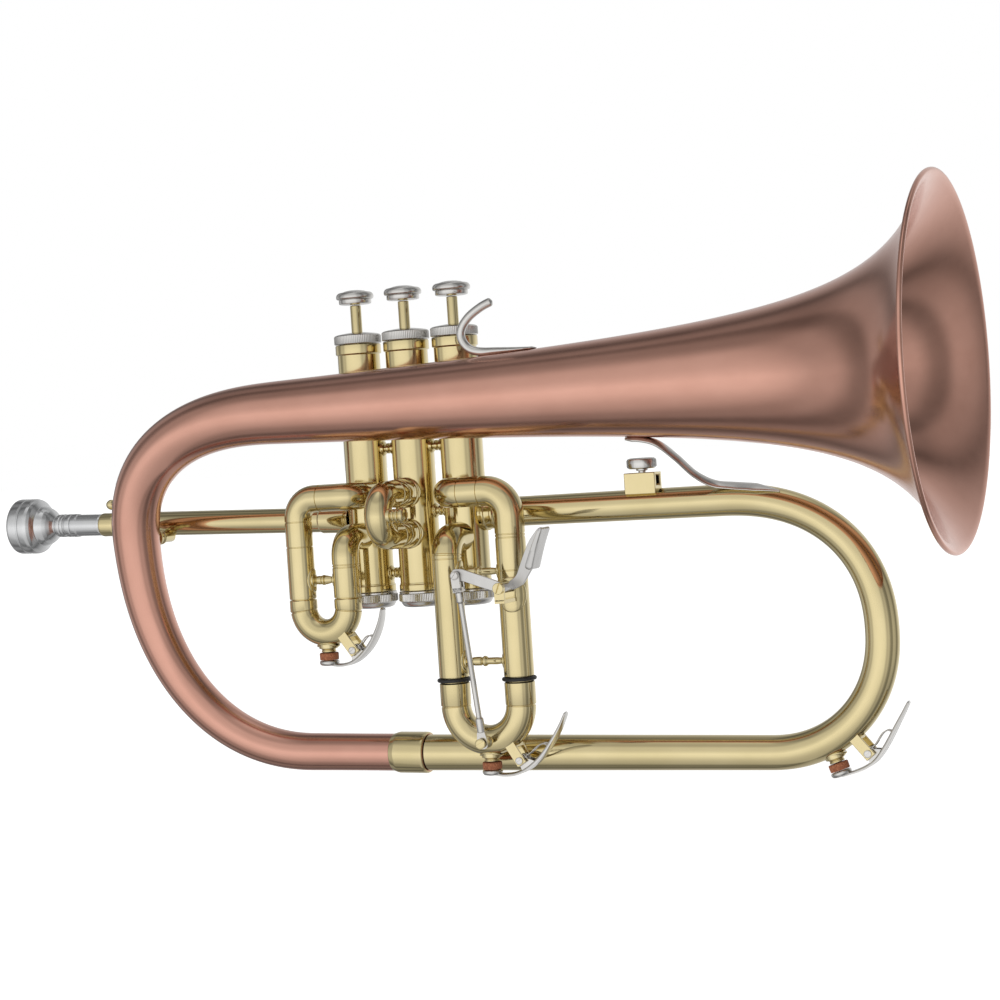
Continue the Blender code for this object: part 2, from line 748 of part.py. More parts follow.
def slide_bow(name, left, right, axis_y, end, bow_z, inner_top, outer_r, gap, origin):
    """The moving U of a slide: inner leg, ferrule and half-round bow, all one tube."""
    stack = leg_stack(outer_r, end, inner_top, gap, FERRULE_H if gap < 1 else 11.0)
    radius = (right - left) / 2.0
    centre_z = bow_z + radius
    path = []
    radii = []
    for z, r in stack:
        path.append(Vector((left, axis_y, z)))
        radii.append(r)
    steps = 8
    mid = (left + right) / 2.0
    for k in range(1, steps):
        a = math.pi * k / steps
        path.append(Vector((mid - radius * math.cos(a), axis_y, centre_z - radius * math.sin(a))))
        radii.append(outer_r - 0.1)
    for z, r in reversed(stack):
        path.append(Vector((right, axis_y, z)))
        radii.append(r)
    return tube(name, path, radii, outer_r - SLIDE_WALL - LEG_PLAY - 0.6, "lacquered_brass", origin=origin)


def add_nipple(ob, foot, down):
    """The short drain tube of a water key, soldered through the wall of a bow."""
    foot = Vector(foot)
    down = Vector(down).normalized()
    profile = [(0, -1.2), (4.4, -1.2), (4.4, 0.7), (3.3, 1.3), (3.3, 2.6), (0, 2.6)]
    join(ob, lathe("nipple", profile, foot, down, "lacquered_brass", seg=12))
    cut(ob, rod("drain", foot - down * 6.0, foot + down * 4.0, 1.4, seg=8))
    return ob


def make_slide_1():
    outer_tube("slide1_upper", [(S1_PORT_X, -6, S1_TOP_Z), (S1_PORT_X, S1_Y, S1_TOP_Z),
                                (S1_LEFT_X, S1_Y, S1_TOP_Z), (S1_LEFT_X, S1_Y, S1_LEG_END)],
               [7.5, 9.0], S1_R, valve_x(1))
    outer_tube("slide1_lower", [(S1_RIGHT_X, -6, S1_LOW_PORT_Z), (S1_RIGHT_X, S1_Y, S1_LOW_PORT_Z),
                                (S1_RIGHT_X, S1_Y, S1_LEG_END)], [8.0], S1_R, valve_x(1))
    leg_brace("slide1_brace", S1_LEFT_X, S1_RIGHT_X, S1_Y, -75.5, S1_R)
    mid = (S1_LEFT_X + S1_RIGHT_X) / 2.0
    ob = slide_bow("slide1", S1_LEFT_X, S1_RIGHT_X, S1_Y, S1_LEG_END, S1_BOW_Z, S1_LEG_END + 15.0,
                   S1_R, GAP, (mid, S1_Y, S1_BOW_Z))
    add_nipple(ob, (mid, S1_Y, S1_BOW_Z - S1_R + 0.1), (0, 0, -1))
    make_key("key1", (mid, S1_Y, S1_BOW_Z - S1_R + 0.1), 0.0, KEY_SCALE,
             (mid, S1_Y, S1_BOW_Z + (S1_RIGHT_X - S1_LEFT_X) / 2.0), S1_R,
             SLIDE_1_KEY_HINGE, SLIDE_1_KEY_LINE)


def make_slide_2():
    for name, z in (("slide2_upper", S2_TOP_Z), ("slide2_lower", S2_LOW_Z)):
        ob = tube(name, [Vector((0, -6.0, z)), Vector((0, S2_LEG_END, z))], S2_R + 0.2,
                  S2_R - SLIDE_WALL, "lacquered_brass")
        cut(ob, rod("clear", (0, 0, z - 10), (0, 0, z + 10), CASING_R + GAP, seg=SEG_CUT))
    leg = S2_R - SLIDE_WALL - LEG_PLAY
    start = S2_LEG_END + 7.5
    radius = (S2_TOP_Z - S2_LOW_Z) / 2.0
    mid = (S2_TOP_Z + S2_LOW_Z) / 2.0
    stack = [(start, leg), (S2_LEG_END - GAP + 0.05, leg), (S2_LEG_END - GAP, S2_R + 0.2),
             (S2_LEG_END - 5.0, S2_R + 0.2), (S2_LEG_END - 5.2, S2_R)]
    path = [Vector((0, y, S2_TOP_Z)) for y, r in stack]
    radii = [r for y, r in stack]
    for k in range(9):
        a = math.pi * k / 8
        path.append(Vector((0, S2_BOW_Y + radius - radius * math.sin(a), mid + radius * math.cos(a))))
        radii.append(S2_R)
    for y, r in reversed(stack):
        path.append(Vector((0, y, S2_LOW_Z)))
        radii.append(r)
    origin = (0, S2_BOW_Y, mid)
    ob = tube("slide2", path, radii, leg - 0.6, "lacquered_brass", origin=origin)
    profile = [(0, -1.2), (3.4, -1.2), (3.4, 0.7), (2.2, 1.2), (3.0, 2.2), (2.5, 2.8), (3.3, 3.8),
               (2.7, 4.6), (3.5, 5.8), (3.5, 6.8), (2.8, 7.5), (0, 7.5)]
    join(ob, lathe("knob", profile, (S2_R, S2_BOW_Y, mid), (1, 0, 0), "lacquered_brass", seg=12))


def leg_brace(name, left, right, y, z, radius):
    """A turned brace between two slide legs, its flanges hollowed to sit on them."""
    span = right - left
    mid = span / 2.0
    edge = radius - 1.6
    profile = [(0, edge), (4.6, edge), (4.6, radius + 0.5), (2.2, radius + 1.2), (1.7, mid - 1.6),
               (2.4, mid), (1.7, mid + 1.6), (2.2, span - radius - 1.2), (4.6, span - radius - 0.5),
               (4.6, span - edge), (0, span - edge)]
    ob = lathe(name, profile, (left, y, z), (1, 0, 0), "lacquered_brass", seg=12)
    for x in (left, right):
        cut(ob, rod("clear", (x, y, z - 9), (x, y, z + 9), radius + GAP, seg=SEG_CUT))
    return ob


def make_slide_3():
    outer_tube("slide3_upper", [(S3_LEFT_X, -6, S3_TOP_Z), (S3_LEFT_X, S3_Y, S3_TOP_Z),
                                (S3_RIGHT_X, S3_Y, S3_TOP_Z), (S3_RIGHT_X, S3_Y, S3_LEG_END)],
               [8.0, 10.5], S3_R, valve_x(3))
    outer_tube("slide3_lower", [(S3_LEFT_X, -6, S3_LOW_PORT_Z), (S3_LEFT_X, S3_Y, S3_LOW_PORT_Z),
                                (S3_LEFT_X, S3_Y, S3_LEG_END)], [8.0], S3_R, valve_x(3))
    for i, z in enumerate(S3_BRACE_Z):
        leg_brace("slide3_brace_%d" % (i + 1), S3_LEFT_X, S3_RIGHT_X, S3_Y, z, S3_R)
    mid = (S3_LEFT_X + S3_RIGHT_X) / 2.0
    origin = (mid, S3_Y, S3_BOW_Z)
    ob = slide_bow("slide3", S3_LEFT_X, S3_RIGHT_X, S3_Y, S3_LEG_END, S3_BOW_Z, S3_LEG_END + 38.0,
                   S3_R, ORING_H + 2 * GAP, origin)
    foot = (mid, S3_Y, S3_BOW_Z - S3_R + 0.1)
    add_nipple(ob, foot, (0, 0, -1))
    leg = S3_R - SLIDE_WALL - LEG_PLAY
    for side, x in (("left", S3_LEFT_X), ("right", S3_RIGHT_X)):
        z = S3_LEG_END - GAP - ORING_H
        profile = [(leg + GAP, 0), (S3_R + 0.5, 0), (S3_R + 1.0, ORING_H * 0.3), (S3_R + 1.0, ORING_H * 0.7),
                   (S3_R + 0.5, ORING_H), (leg + GAP, ORING_H)]
        lathe("oring_" + side, profile, (x, S3_Y, z), (0, 0, 1), "rubber", seg=18, hollow=True,
              origin=origin)
    make_key("key3", foot, 0.0, KEY_SCALE, (mid, S3_Y, S3_BOW_Z + (S3_RIGHT_X - S3_LEFT_X) / 2.0), S3_R,
             SLIDE_3_KEY_HINGE, SLIDE_3_KEY_LINE)


# ---------------------------------------------------------------- water keys

def key_point(foot, turn, scale, x, z):
    """A place on a water key: x along the lever and z up from the nipple foot, turned and scaled."""
    c = math.cos(turn)
    s = math.sin(turn)
    return Vector(foot) + Vector((x * c - z * s, 0, x * s + z * c)) * scale


def make_key(name, foot, turn, scale, bow_centre, tube_r, hinge, line):
    """Saddle with its pin, lever with cork cup, and cork of one water key."""
    pivot = key_point(foot, turn, scale, *hinge)
    down = key_point(foot, turn, scale, 0, -1) - Vector(foot)
    down.normalize()
    radial = (pivot - Vector(bow_centre)).normalized()
    tangent = Vector((0, 1, 0)).cross(radial).normalized()
    bow_r = (Vector(foot) - Vector(bow_centre)).length - tube_r
    centre_line = Vector(bow_centre) + radial * bow_r
    surface = centre_line + radial * tube_r
    height = (pivot - surface).length + 1.9
    block = surface + radial * (height / 2.0 - 0.7)
    axes = (tangent, (0, 1, 0), radial)
    saddle = box(name + "_saddle", block, (4.6, KEY_WIDTH + 3.0, height + 1.4), axes, origin=pivot)
    slot = surface + radial * (height / 2.0 + 1.6)
    cut(saddle, box("slot", slot, (8.0, KEY_WIDTH + 0.8, height), axes))
    cut(saddle, rod("clear", centre_line - tangent * 9, centre_line + tangent * 9, tube_r + GAP,
                    seg=SEG_CUT))
    half = KEY_WIDTH / 2.0 + 1.2
    join(saddle, rod("pin", pivot - Vector((0, half, 0)), pivot + Vector((0, half, 0)), 0.9, seg=10))
    path = smooth_path([key_point(foot, turn, scale, x, z) for x, z in line], 1)
    count = len(path)
    middle = (count - 1) / 2.0
    widths = [KEY_WIDTH * (1.08 - 0.45 * (abs(i - middle) / middle) ** 2) for i in range(count)]
    thick = [1.5 if i < count - 2 else 1.1 for i in range(count)]
    lever = strip(name + "_lever", path, widths, thick, (0, 1, 0), "nickel_plate", origin=pivot)
    cup = [(0, CUP_TOP), (4.2, CUP_TOP), (4.5, CUP_TOP + 0.8), (3.7, CUP_TOP + 2.4), (0, CUP_TOP + 2.4)]
    join(lever, lathe("cup", cup, foot, down, "nickel_plate", seg=12))
    web_low = key_point(foot, turn, scale, hinge[0] - 0.8, line[3][1] - 1.4)
    web = strip("web", [web_low, pivot], KEY_WIDTH - 0.6, 2.2, (0, 1, 0), "nickel_plate")
    join(lever, web)
    half = KEY_WIDTH / 2.0
    join(lever, rod("barrel", pivot - Vector((0, half, 0)), pivot + Vector((0, half, 0)), 1.9, seg=12))
    cut(lever, rod("bore", pivot - Vector((0, 4, 0)), pivot + Vector((0, 4, 0)), 1.25, seg=12))
    cork = [(0, 2.95), (4.1, 2.95), (4.25, 3.5), (4.25, CUP_TOP - GAP), (0, CUP_TOP - GAP)]
    lathe(name + "_cork", cork, foot, down, "cork", seg=12, origin=pivot)


# ---------------------------------------------------------------- trigger

def make_trigger():
    p = TRIGGER_PIVOT
    leg = Vector((S3_RIGHT_X, S3_Y, p.z - 3.0))
    front = S3_Y - S3_R
    square = ((1, 0, 0), (0, 1, 0), (0, 0, 1))
    saddle = rod("trigger_saddle", leg - Vector((0, 0, 6.5)), leg + Vector((0, 0, 6.5)), S3_R + 1.2,
                 seg=SEG_CUT, origin=p)
    apply_boolean(saddle, box("patch", (p.x - 0.8, front, leg.z), (10.6, 7.0, 20.0), square), "INTERSECT")
    floor_z = p.z - 5.6
    reach = (p.y - 6.4, front - 0.6)
    join(saddle, box("floor", (p.x, sum(reach) / 2.0, floor_z), (4.6, reach[1] - reach[0], 1.6), square))
    for y in (p.y - 5.8, front - 1.3):
        join(saddle, box("ear", (p.x, y, p.z - 2.0), (4.6, 1.2, 8.8), square))
    cut(saddle, rod("clear", leg - Vector((0, 0, 12)), leg + Vector((0, 0, 12)), S3_R + GAP, seg=SEG_CUT))
    join(saddle, rod("pin", (p.x, p.y - 6.0, p.z), (p.x, front - 1.2, p.z), 1.1, seg=12))
    head = [(0, 0), (2.4, 0), (2.4, 0.9), (1.9, 1.4), (0, 1.4)]
    join(saddle, lathe("head", head, p - Vector((0, 6.3, 0)), (0, -1, 0), "lacquered_brass", seg=16))
    make_trigger_lever()
    make_rod()


def make_trigger_lever():
    p = TRIGGER_PIVOT
    e = TRIGGER_EYE
    arm = [(0.6, 2.1), (-1.1, 3.0), (-17.6, 8.9), (-21.4, 8.9), (-22.7, 6.4), (-21.4, 3.9), (-17.1, 3.6),
           (-8.8, 0.7), (-3.6, -1.0), (0.0, -2.1)]
    lever = prism("trigger_lever", arm, 1.4, (p.x, e.y, p.z), (1, 0, 0), (0, 0, 1), "nickel_plate", origin=p)
    join(lever, rod("barrel", p - Vector((0, 4.9, 0)), p + Vector((0, 4.3, 0)), 2.3, seg=14))
    horn = [(-0.6, -1.8), (2.6, -1.4), (7.0, 0.6), (11.0, 6.4), (14.5, 11.0), (18.5, 22.0), (17.4, 24.8),
            (15.2, 24.2), (10.6, 18.6), (7.0, 11.0), (4.1, 4.2), (0.0, 2.0)]
    join(lever, prism("horn", horn, 1.5, (p.x, TRIGGER_HORN_Y, p.z), (1, 0, 0), (0, 0, 1), "nickel_plate"))
    line = [(12.4, 7.4), (14.4, 13.0), (16.8, 19.0), (19.4, 24.6)]
    pad = smooth_path([(p.x + x, TRIGGER_HORN_Y - 2.4, p.z + z) for x, z in line], 2)
    thick = [3.6 - 2.0 * i / (len(pad) - 1) for i in range(len(pad))]
    join(lever, strip("pad", pad, 10.0, thick, (0, 1, 0), "nickel_plate"))
    cut(lever, rod("bore", p - Vector((0, 9, 0)), p + Vector((0, 9, 0)), 1.45, seg=14))
    cut(lever, rod("eye", e - Vector((0, 3, 0)), e + Vector((0, 3, 0)), 1.5, seg=12))
    return lever


def make_rod():
    """Connecting rod with a forked head on the lever and a barrel on the lug of the bow."""
    e = TRIGGER_EYE
    low = ROD_LUG + Vector((ROD_PLAY, 0.0, 0.0))
    d = (low - e).normalized()
    side = Vector((0, 1, 0))
    side = (side - d * side.dot(d)).normalized()
    across = side.cross(d).normalized()
    ob = rod("trigger_rod", e + d * 6.5, low - d * 5.0, 1.2, "nickel_plate", seg=8, origin=e)
    join(ob, box("fork", e + d * 2.8, (3.6, 4.6, 9.0), (across, side, d), "nickel_plate"))
    cut(ob, box("slot", e - d * 0.2, (9.0, 2.1, 11.0), (across, side, d)))
    join(ob, rod("pin", e - side * 2.2, e + side * 2.2, 1.1, "nickel_plate", seg=10))
    join(ob, rod("upper", e + d * 7.0, e + d * 12.0, 1.8, "nickel_plate", seg=10))
    join(ob, rod("lower", low - d * 11.0, low - d * 4.5, 1.8, "nickel_plate", seg=10))
    join(ob, box("tongue", low - d * 1.95, (4.6, 1.6, 7.5), (across, side, d), "nickel_plate"))
    cut(ob, rod("eye", low - side * 3, low + side * 3, 1.5, seg=14))
    low = ROD_LUG
    y = S3_Y - S3_R
    mid = (S3_LEFT_X + S3_RIGHT_X) / 2.0
    lug = box("rod_lug", (mid, (y + low.y + 1.6) / 2.0 + 0.9, low.z), (5.0, abs(y - low.y - 1.6) + 1.8, 5.0),
              ((1, 0, 0), (0, 1, 0), (0, 0, 1)), origin=low)
    cut(lug, rod("clear", (mid - 8, S3_Y, S3_BOW_Z), (mid + 8, S3_Y, S3_BOW_Z), S3_R + 0.25, seg=SEG_CUT))
    join(lug, rod("pin", (low.x, y - 1.0, low.z), (low.x, low.y - 1.6, low.z), 0.8, seg=10))
    head = [(0, 0), (2.2, 0), (2.2, 0.8), (1.7, 1.3), (0, 1.3)]
    join(lug, lathe("head", head, (low.x, low.y - 1.5, low.z), (0, -1, 0), "lacquered_brass", seg=14))


# ---------------------------------------------------------------- fittings

def make_finger_hook():
    """A round rod on the bell, bent up and over for the little finger."""
    foot = flare_radius(66.0) + HOOK_THICK / 2.0 + 2 * GAP
    line = [(74.6, foot), (65.8, foot - 0.1), (56.2, foot - 0.4), (48.4, foot - 0.2), (43.2, foot + 1.6),
            (40.2, foot + 5.6), (40.4, foot + 10.0), (44.1, foot + 14.6), (50.2, foot + 18.4),
            (55.6, foot + 20.6)]
    path = smooth_path([Vector((x, BELL_Y, z)) for x, z in line], 2)
    count = len(path)
    widths = [HOOK_THICK if i < count - 1 else HOOK_THICK * 0.7 for i in range(count)]
    return strip("finger_hook", path, widths, HOOK_THICK * 0.9, (0, 1, 0), "nickel_plate")


def make_s_bracket():
    """A ribbon from the underside of the bell down to the front of the main tube."""
    line = [(x, BELL_Y, -(flare_radius(x) + 1.0 + 3 * GAP)) for x in (112.0, 119.0)]
    line += [(125.5, -26.5, -25.2), (131.0, -20.0, -31.4), (136.0, -12.0, -38.6), (142.0, -6.9, -42.6),
             (150.0, -5.3, -43.6), (160.0, -5.1, -44.6), (170.0, -5.1, -46.4)]
    path = smooth_path(line, 2)
    return strip("s_bracket", path, 4.6, 2.0, (0.1, 1, 0.35), "nickel_plate")


def make_lyre_holder():
    x = LYRE_X
    base = CROOK_TOP_Z + MAIN_R_TOP
    square = ((1, 0, 0), (0, 1, 0), (0, 0, 1))
    ob = box("lyre_box", (x, LYRE_Y, base + 2.6), (14.0, 8.6, 9.4), square)
    cut(ob, box("socket", (x, LYRE_Y, base + 3.9), (20.0, 5.0, 4.6), square))
    low = CROOK_TOP_Z
    cut(ob, rod("clear", (x - 12, 0, low), (x + 12, 0, low), MAIN_R_TOP + 0.6 + GAP, seg=SEG_CUT))
    cut(ob, rod("thread", (x, LYRE_Y, base + 5), (x, LYRE_Y, base + 12), 2.0, seg=14))
    z = base + 7.3 + GAP
    profile = [(0, -2.2), (1.6, -2.2), (1.6, 0.4), (2.6, 0.6), (2.6, 1.2), (5.9, 1.5), (6.5, 2.5),
               (6.5, 5.0), (5.6, 6.1), (0, 6.1)]
    lathe("lyre_screw", profile, (x, LYRE_Y, z), (0, 0, 1), "nickel_plate", seg=18, origin=(x, LYRE_Y, z))


def make_fittings():
    make_finger_hook()
    make_s_bracket()
    make_lyre_holder()
    centre = Vector((CROOK_BOTTOM.x, MAIN_KEY_FOOT.y, CROOK_RIGHT[1]))
    make_key("key_main", MAIN_KEY_FOOT, MAIN_KEY_TURN, MAIN_KEY_SCALE, centre, 7.4,
             MAIN_KEY_HINGE, MAIN_KEY_LINE)


# ---------------------------------------------------------------- build

def build():
    clear_scene()
    make_valves()
    make_bell()
    make_bell_bow()
    make_tail_ferrule()
    make_main_tube()
    make_leadpipe_group()
    make_slide_1()
    make_slide_2()
    make_slide_3()
    make_trigger()
    make_fittings()


build()
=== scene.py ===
"""The looks of the flugelhorn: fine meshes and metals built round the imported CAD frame.

Lengths in this script are millimetres in the frame of the CAD model: +X towards the bell, +Z up along
the valves, the player's right side faces -Y, and the origin is on the axis of valve 2.
"""

from bisect import bisect_right
from math import acos, cos, pi, radians, sin, sqrt, tan

import bmesh
import bpy
from mathutils import Matrix, Vector


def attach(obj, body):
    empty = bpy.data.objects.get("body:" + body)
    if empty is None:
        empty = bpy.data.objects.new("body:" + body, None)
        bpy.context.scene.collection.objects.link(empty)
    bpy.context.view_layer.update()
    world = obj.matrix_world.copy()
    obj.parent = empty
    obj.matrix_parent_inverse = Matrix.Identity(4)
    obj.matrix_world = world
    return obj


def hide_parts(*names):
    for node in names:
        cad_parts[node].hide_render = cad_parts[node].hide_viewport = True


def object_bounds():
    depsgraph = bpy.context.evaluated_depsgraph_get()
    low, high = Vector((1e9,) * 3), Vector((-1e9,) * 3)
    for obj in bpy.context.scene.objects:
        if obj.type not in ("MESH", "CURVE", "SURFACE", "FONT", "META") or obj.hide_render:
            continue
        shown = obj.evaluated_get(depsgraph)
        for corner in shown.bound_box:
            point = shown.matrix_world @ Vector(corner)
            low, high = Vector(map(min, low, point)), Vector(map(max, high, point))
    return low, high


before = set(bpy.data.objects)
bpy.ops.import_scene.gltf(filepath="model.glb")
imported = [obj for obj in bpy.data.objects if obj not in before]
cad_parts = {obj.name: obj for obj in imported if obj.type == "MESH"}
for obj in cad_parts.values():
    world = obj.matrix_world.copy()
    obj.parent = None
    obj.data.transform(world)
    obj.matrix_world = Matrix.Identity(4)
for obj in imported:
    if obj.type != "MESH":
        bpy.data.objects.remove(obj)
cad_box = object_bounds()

MM = 0.001

# Valves
VALVE_PITCH = 24.0
CASING_R = 9.5
CASING_BORE_R = 8.6
CASING_TOP = 28.4
CASING_BOTTOM = -83.0
CAP_R = 10.6
PISTON_R = 8.3
PISTON_TOP = 6.0
PISTON_BOTTOM = -60.0
STEM_R = 2.45
BUTTON_R = 8.45
BUTTON_Z = 46.4
BUTTON_H = 6.7
KNURLS = 84
CASING_BRACES = ((1, "top", -19.0), (1, "low", -75.0), (2, "top", -19.0), (2, "mid", -48.0))

# Bell and its bow
BELL_Y = -28.0
BELL_END_X = 249.6
BELL_RIM_R = 76.2
BELL_WALL = 0.9
BEAD_R = 1.1
FLARE_BASE = 17.602
FLARE_SLOPE = 0.0195
FLARE_SCALE = 17667.0
FLARE_SHIFT = 41.56
FLARE_POWER = 1.535
BOW_START_X = -52.8
BOW_LEFT = (-134.4, -59.1)
BOW_TOP_POWER = 2.48
BOW_LOW_POWER = 2.21
BOW_LOW_Z = -154.3
TAIL_END = Vector((3.2, -9.5, -155.0))
TAIL_R = 8.3
BOW_TAPER = 1.7
BELL_JOINT_X = -50.0
BOW_RINGS = 110
FLARE_RINGS = 90
BELL_SIDES = 144
FLARE_LENGTH = 298.4

# Main tube
CROOK_TOP_Z = -50.4
CROOK_TOP_X = 143.6
CROOK_RIGHT = (209.3, -108.5)
CROOK_BOTTOM = Vector((160.8, -4.6, -156.9))
CROOK_TOP_POWER = 2.25
CROOK_LOW_POWER = 2.1
MAIN_R_TOP = 6.5
MAIN_R_LOW = 8.0
FERRULE_R = 9.2

# Leadpipe, mouthpipe and mouthpiece, measured along the pipe from its start at valve 1
PIPE_SLOPE = radians(1.6)
PIPE_START = Vector((-33.7, 0.0, -50.0))
PIPE_AHEAD = Vector((-cos(PIPE_SLOPE), 0, sin(PIPE_SLOPE)))
PIPE_R = 5.65
MOUTHPIPE_R = 4.6
PIPE_END = 128.0
RECEIVER = 125.3
MOUTHPIECE = 180.0
MOUTHPIECE_RIM_R = 13.2
LOCK_AHEAD = Vector((-0.71, 0.0, 0.70)).normalized()
BOW_BRACE_X = -128.5

# Slides
S1_Y = -26.0
S1_LEFT_X = -46.4
S1_RIGHT_X = -24.0
S1_TOP_Z = -39.2
S1_PORT_X = -18.0
S1_LOW_PORT_Z = -57.5
S1_R = 6.05
S1_LEG_END = -83.5
S1_BOW_Z = -98.9
S1_BRACE_Z = -75.5
S1_INSIDE = 15.0

S2_TOP_Z = -39.2
S2_LOW_Z = -57.4
S2_R = 6.05
S2_LEG_END = -18.0
S2_BOW_Y = -38.9
S2_INSIDE = 7.5
S2_FERRULE_H = 4.9

S3_Y = -24.2
S3_LEFT_X = 24.5
S3_RIGHT_X = 55.2
S3_TOP_Z = -40.2
S3_LOW_PORT_Z = -60.0
S3_R = 6.55
S3_LEG_END = -120.1
S3_BOW_Z = -147.7
S3_BRACE_Z = (-74.8, -113.5)
S3_INSIDE = 38.0

# Each upright slide: left leg, right leg, depth, middle of its bow, radius
SLIDE_1 = (S1_LEFT_X, S1_RIGHT_X, S1_Y, S1_BOW_Z, S1_R)
SLIDE_3 = (S3_LEFT_X, S3_RIGHT_X, S3_Y, S3_BOW_Z, S3_R)

PORT_Y = -8.6
SEAM_DEPTH = 0.34
SEAM_HALF = 0.3
SLIDE_WALL = 0.7
LEG_PLAY = 0.35
GAP = 0.3
FERRULE_H = 5.2
LONG_FERRULE_H = 10.2
ORING_H = 1.7

# Trigger
TRIGGER_PIVOT = Vector((57.0, -37.5, -81.2))
TRIGGER_EYE = Vector((36.8, -41.6, -74.9))
TRIGGER_HORN_Y = -33.6
ROD_LUG = Vector((41.05, -36.0, -147.6))
ROD_PLAY = 0.48

# Water keys: the hinge and the line of each lever are measured from the foot of its nipple
KEY_WIDTH = 6.0
KEY_SCALE = 0.86
CUP_TOP = 6.4
SLIDE_1_KEY_HINGE = (16.3, -2.2)
SLIDE_1_KEY_LINE = [(0.0, -9.2), (6.0, -9.9), (12.0, -9.2), (18.0, -6.2), (24.0, -0.6), (28.4, 6.0),
                    (31.3, 13.0), (32.5, 19.0)]
SLIDE_3_KEY_HINGE = (17.2, -2.4)
SLIDE_3_KEY_LINE = [(0.0, -9.2), (7.0, -9.9), (14.0, -9.1), (20.9, -6.0), (27.9, -0.2), (33.7, 7.0),
                    (38.4, 14.3), (41.9, 21.3)]
MAIN_KEY_FOOT = Vector((186.6, -4.1, -158.6))
MAIN_KEY_TURN = radians(18.0)
MAIN_KEY_SCALE = 0.92
MAIN_KEY_TUBE_R = 7.4
MAIN_KEY_HINGE = (16.0, -3.6)
MAIN_KEY_LINE = [(0.0, -9.2), (7.5, -9.3), (13.0, -8.8), (18.4, -6.9), (25.0, -2.1), (32.0, 4.1),
                 (36.9, 8.4), (41.2, 12.4)]

# Fittings
HOOK_THICK = 3.8
LYRE_X = 108.7
LYRE_Y = -1.5

# Camera and floor
CAMERA_PLACE = Vector((450.4, -925.9, -23.3))
CAMERA_TURN = radians(23.86)
CAMERA_TILT = radians(1.23)
CAMERA_ROLL = radians(3.75)
CAMERA_LENS = 82.8
FLOOR_DROP = 4.0
FLOOR_SIZE = 60000.0

# Directions
X = Vector((1, 0, 0))
Y = Vector((0, 1, 0))
Z = Vector((0, 0, 1))

ROUND = 64
FINE = 96


# --- lines and outlines

def soften(points, reach, steps=3, closed=False):
    """Round each corner of a line, cutting it back by reach at most."""
    pts = [Vector(p) for p in points]
    count = len(pts)
    out = []
    for i, b in enumerate(pts):
        if not closed and i in (0, count - 1):
            out.append(b)
            continue
        a = pts[i - 1]
        c = pts[(i + 1) % count]
        back = min(reach, (a - b).length * 0.45)
        ahead = min(reach, (c - b).length * 0.45)
        p = b + (a - b).normalized() * back
        q = b + (c - b).normalized() * ahead
        for k in range(steps + 1):
            t = k / steps
            out.append(p * (1 - t) ** 2 + b * (2 * t * (1 - t)) + q * t ** 2)
    return out


def filleted(corners, radii, steps=14):
    """A path through the corners, each inner one turned by an arc of its radius."""
    pts = [Vector(corners[0])]
    for i in range(1, len(corners) - 1):
        a = Vector(corners[i - 1])
        b = Vector(corners[i])
        c = Vector(corners[i + 1])
        u = (a - b).normalized()
        w = (c - b).normalized()
        half = u.angle(w) / 2.0
        reach = radii[i - 1] / tan(half)
        centre = b + (u + w).normalized() * (radii[i - 1] / sin(half))
        e1 = b + u * reach - centre
        turn = pi - 2.0 * half
        e2 = ((b + w * reach - centre) - e1 * cos(turn)) / sin(turn)
        for k in range(steps + 1):
            t = turn * k / steps
            pts.append(centre + e1 * cos(t) + e2 * sin(t))
    pts.append(Vector(corners[-1]))
    return pts


def curve_through(points, steps=8):
    """A smooth curve through the points."""
    pts = [Vector(p) for p in points]
    out = []
    for i in range(len(pts) - 1):
        a = pts[max(i - 1, 0)]
        b = pts[i]
        c = pts[i + 1]
        d = pts[min(i + 2, len(pts) - 1)]
        for k in range(steps):
            t = k / steps
            out.append(0.5 * (2 * b + (c - a) * t + (2 * a - 5 * b + 4 * c - d) * t * t
                              + (3 * b - a - 3 * c + d) * t ** 3))
    out.append(pts[-1])
    return out


def quarter_arc(flat_end, upright_end, power, steps):
    """A quarter turn in (x, z) from flat_end, along X, to upright_end, along Z."""
    points = []
    for k in range(steps + 1):
        a = pi / 2.0 * k / steps
        across = sin(a) ** (2.0 / power)
        along = max(cos(a), 0.0) ** (2.0 / power)
        points.append((flat_end[0] + (upright_end[0] - flat_end[0]) * across,
                       upright_end[1] + (flat_end[1] - upright_end[1]) * along))
    return points


def square_to(direction, hint):
    """Side and up, both square to a direction, up nearest the hint."""
    up = (hint - direction * hint.dot(direction)).normalized()
    return up.cross(direction).normalized(), up


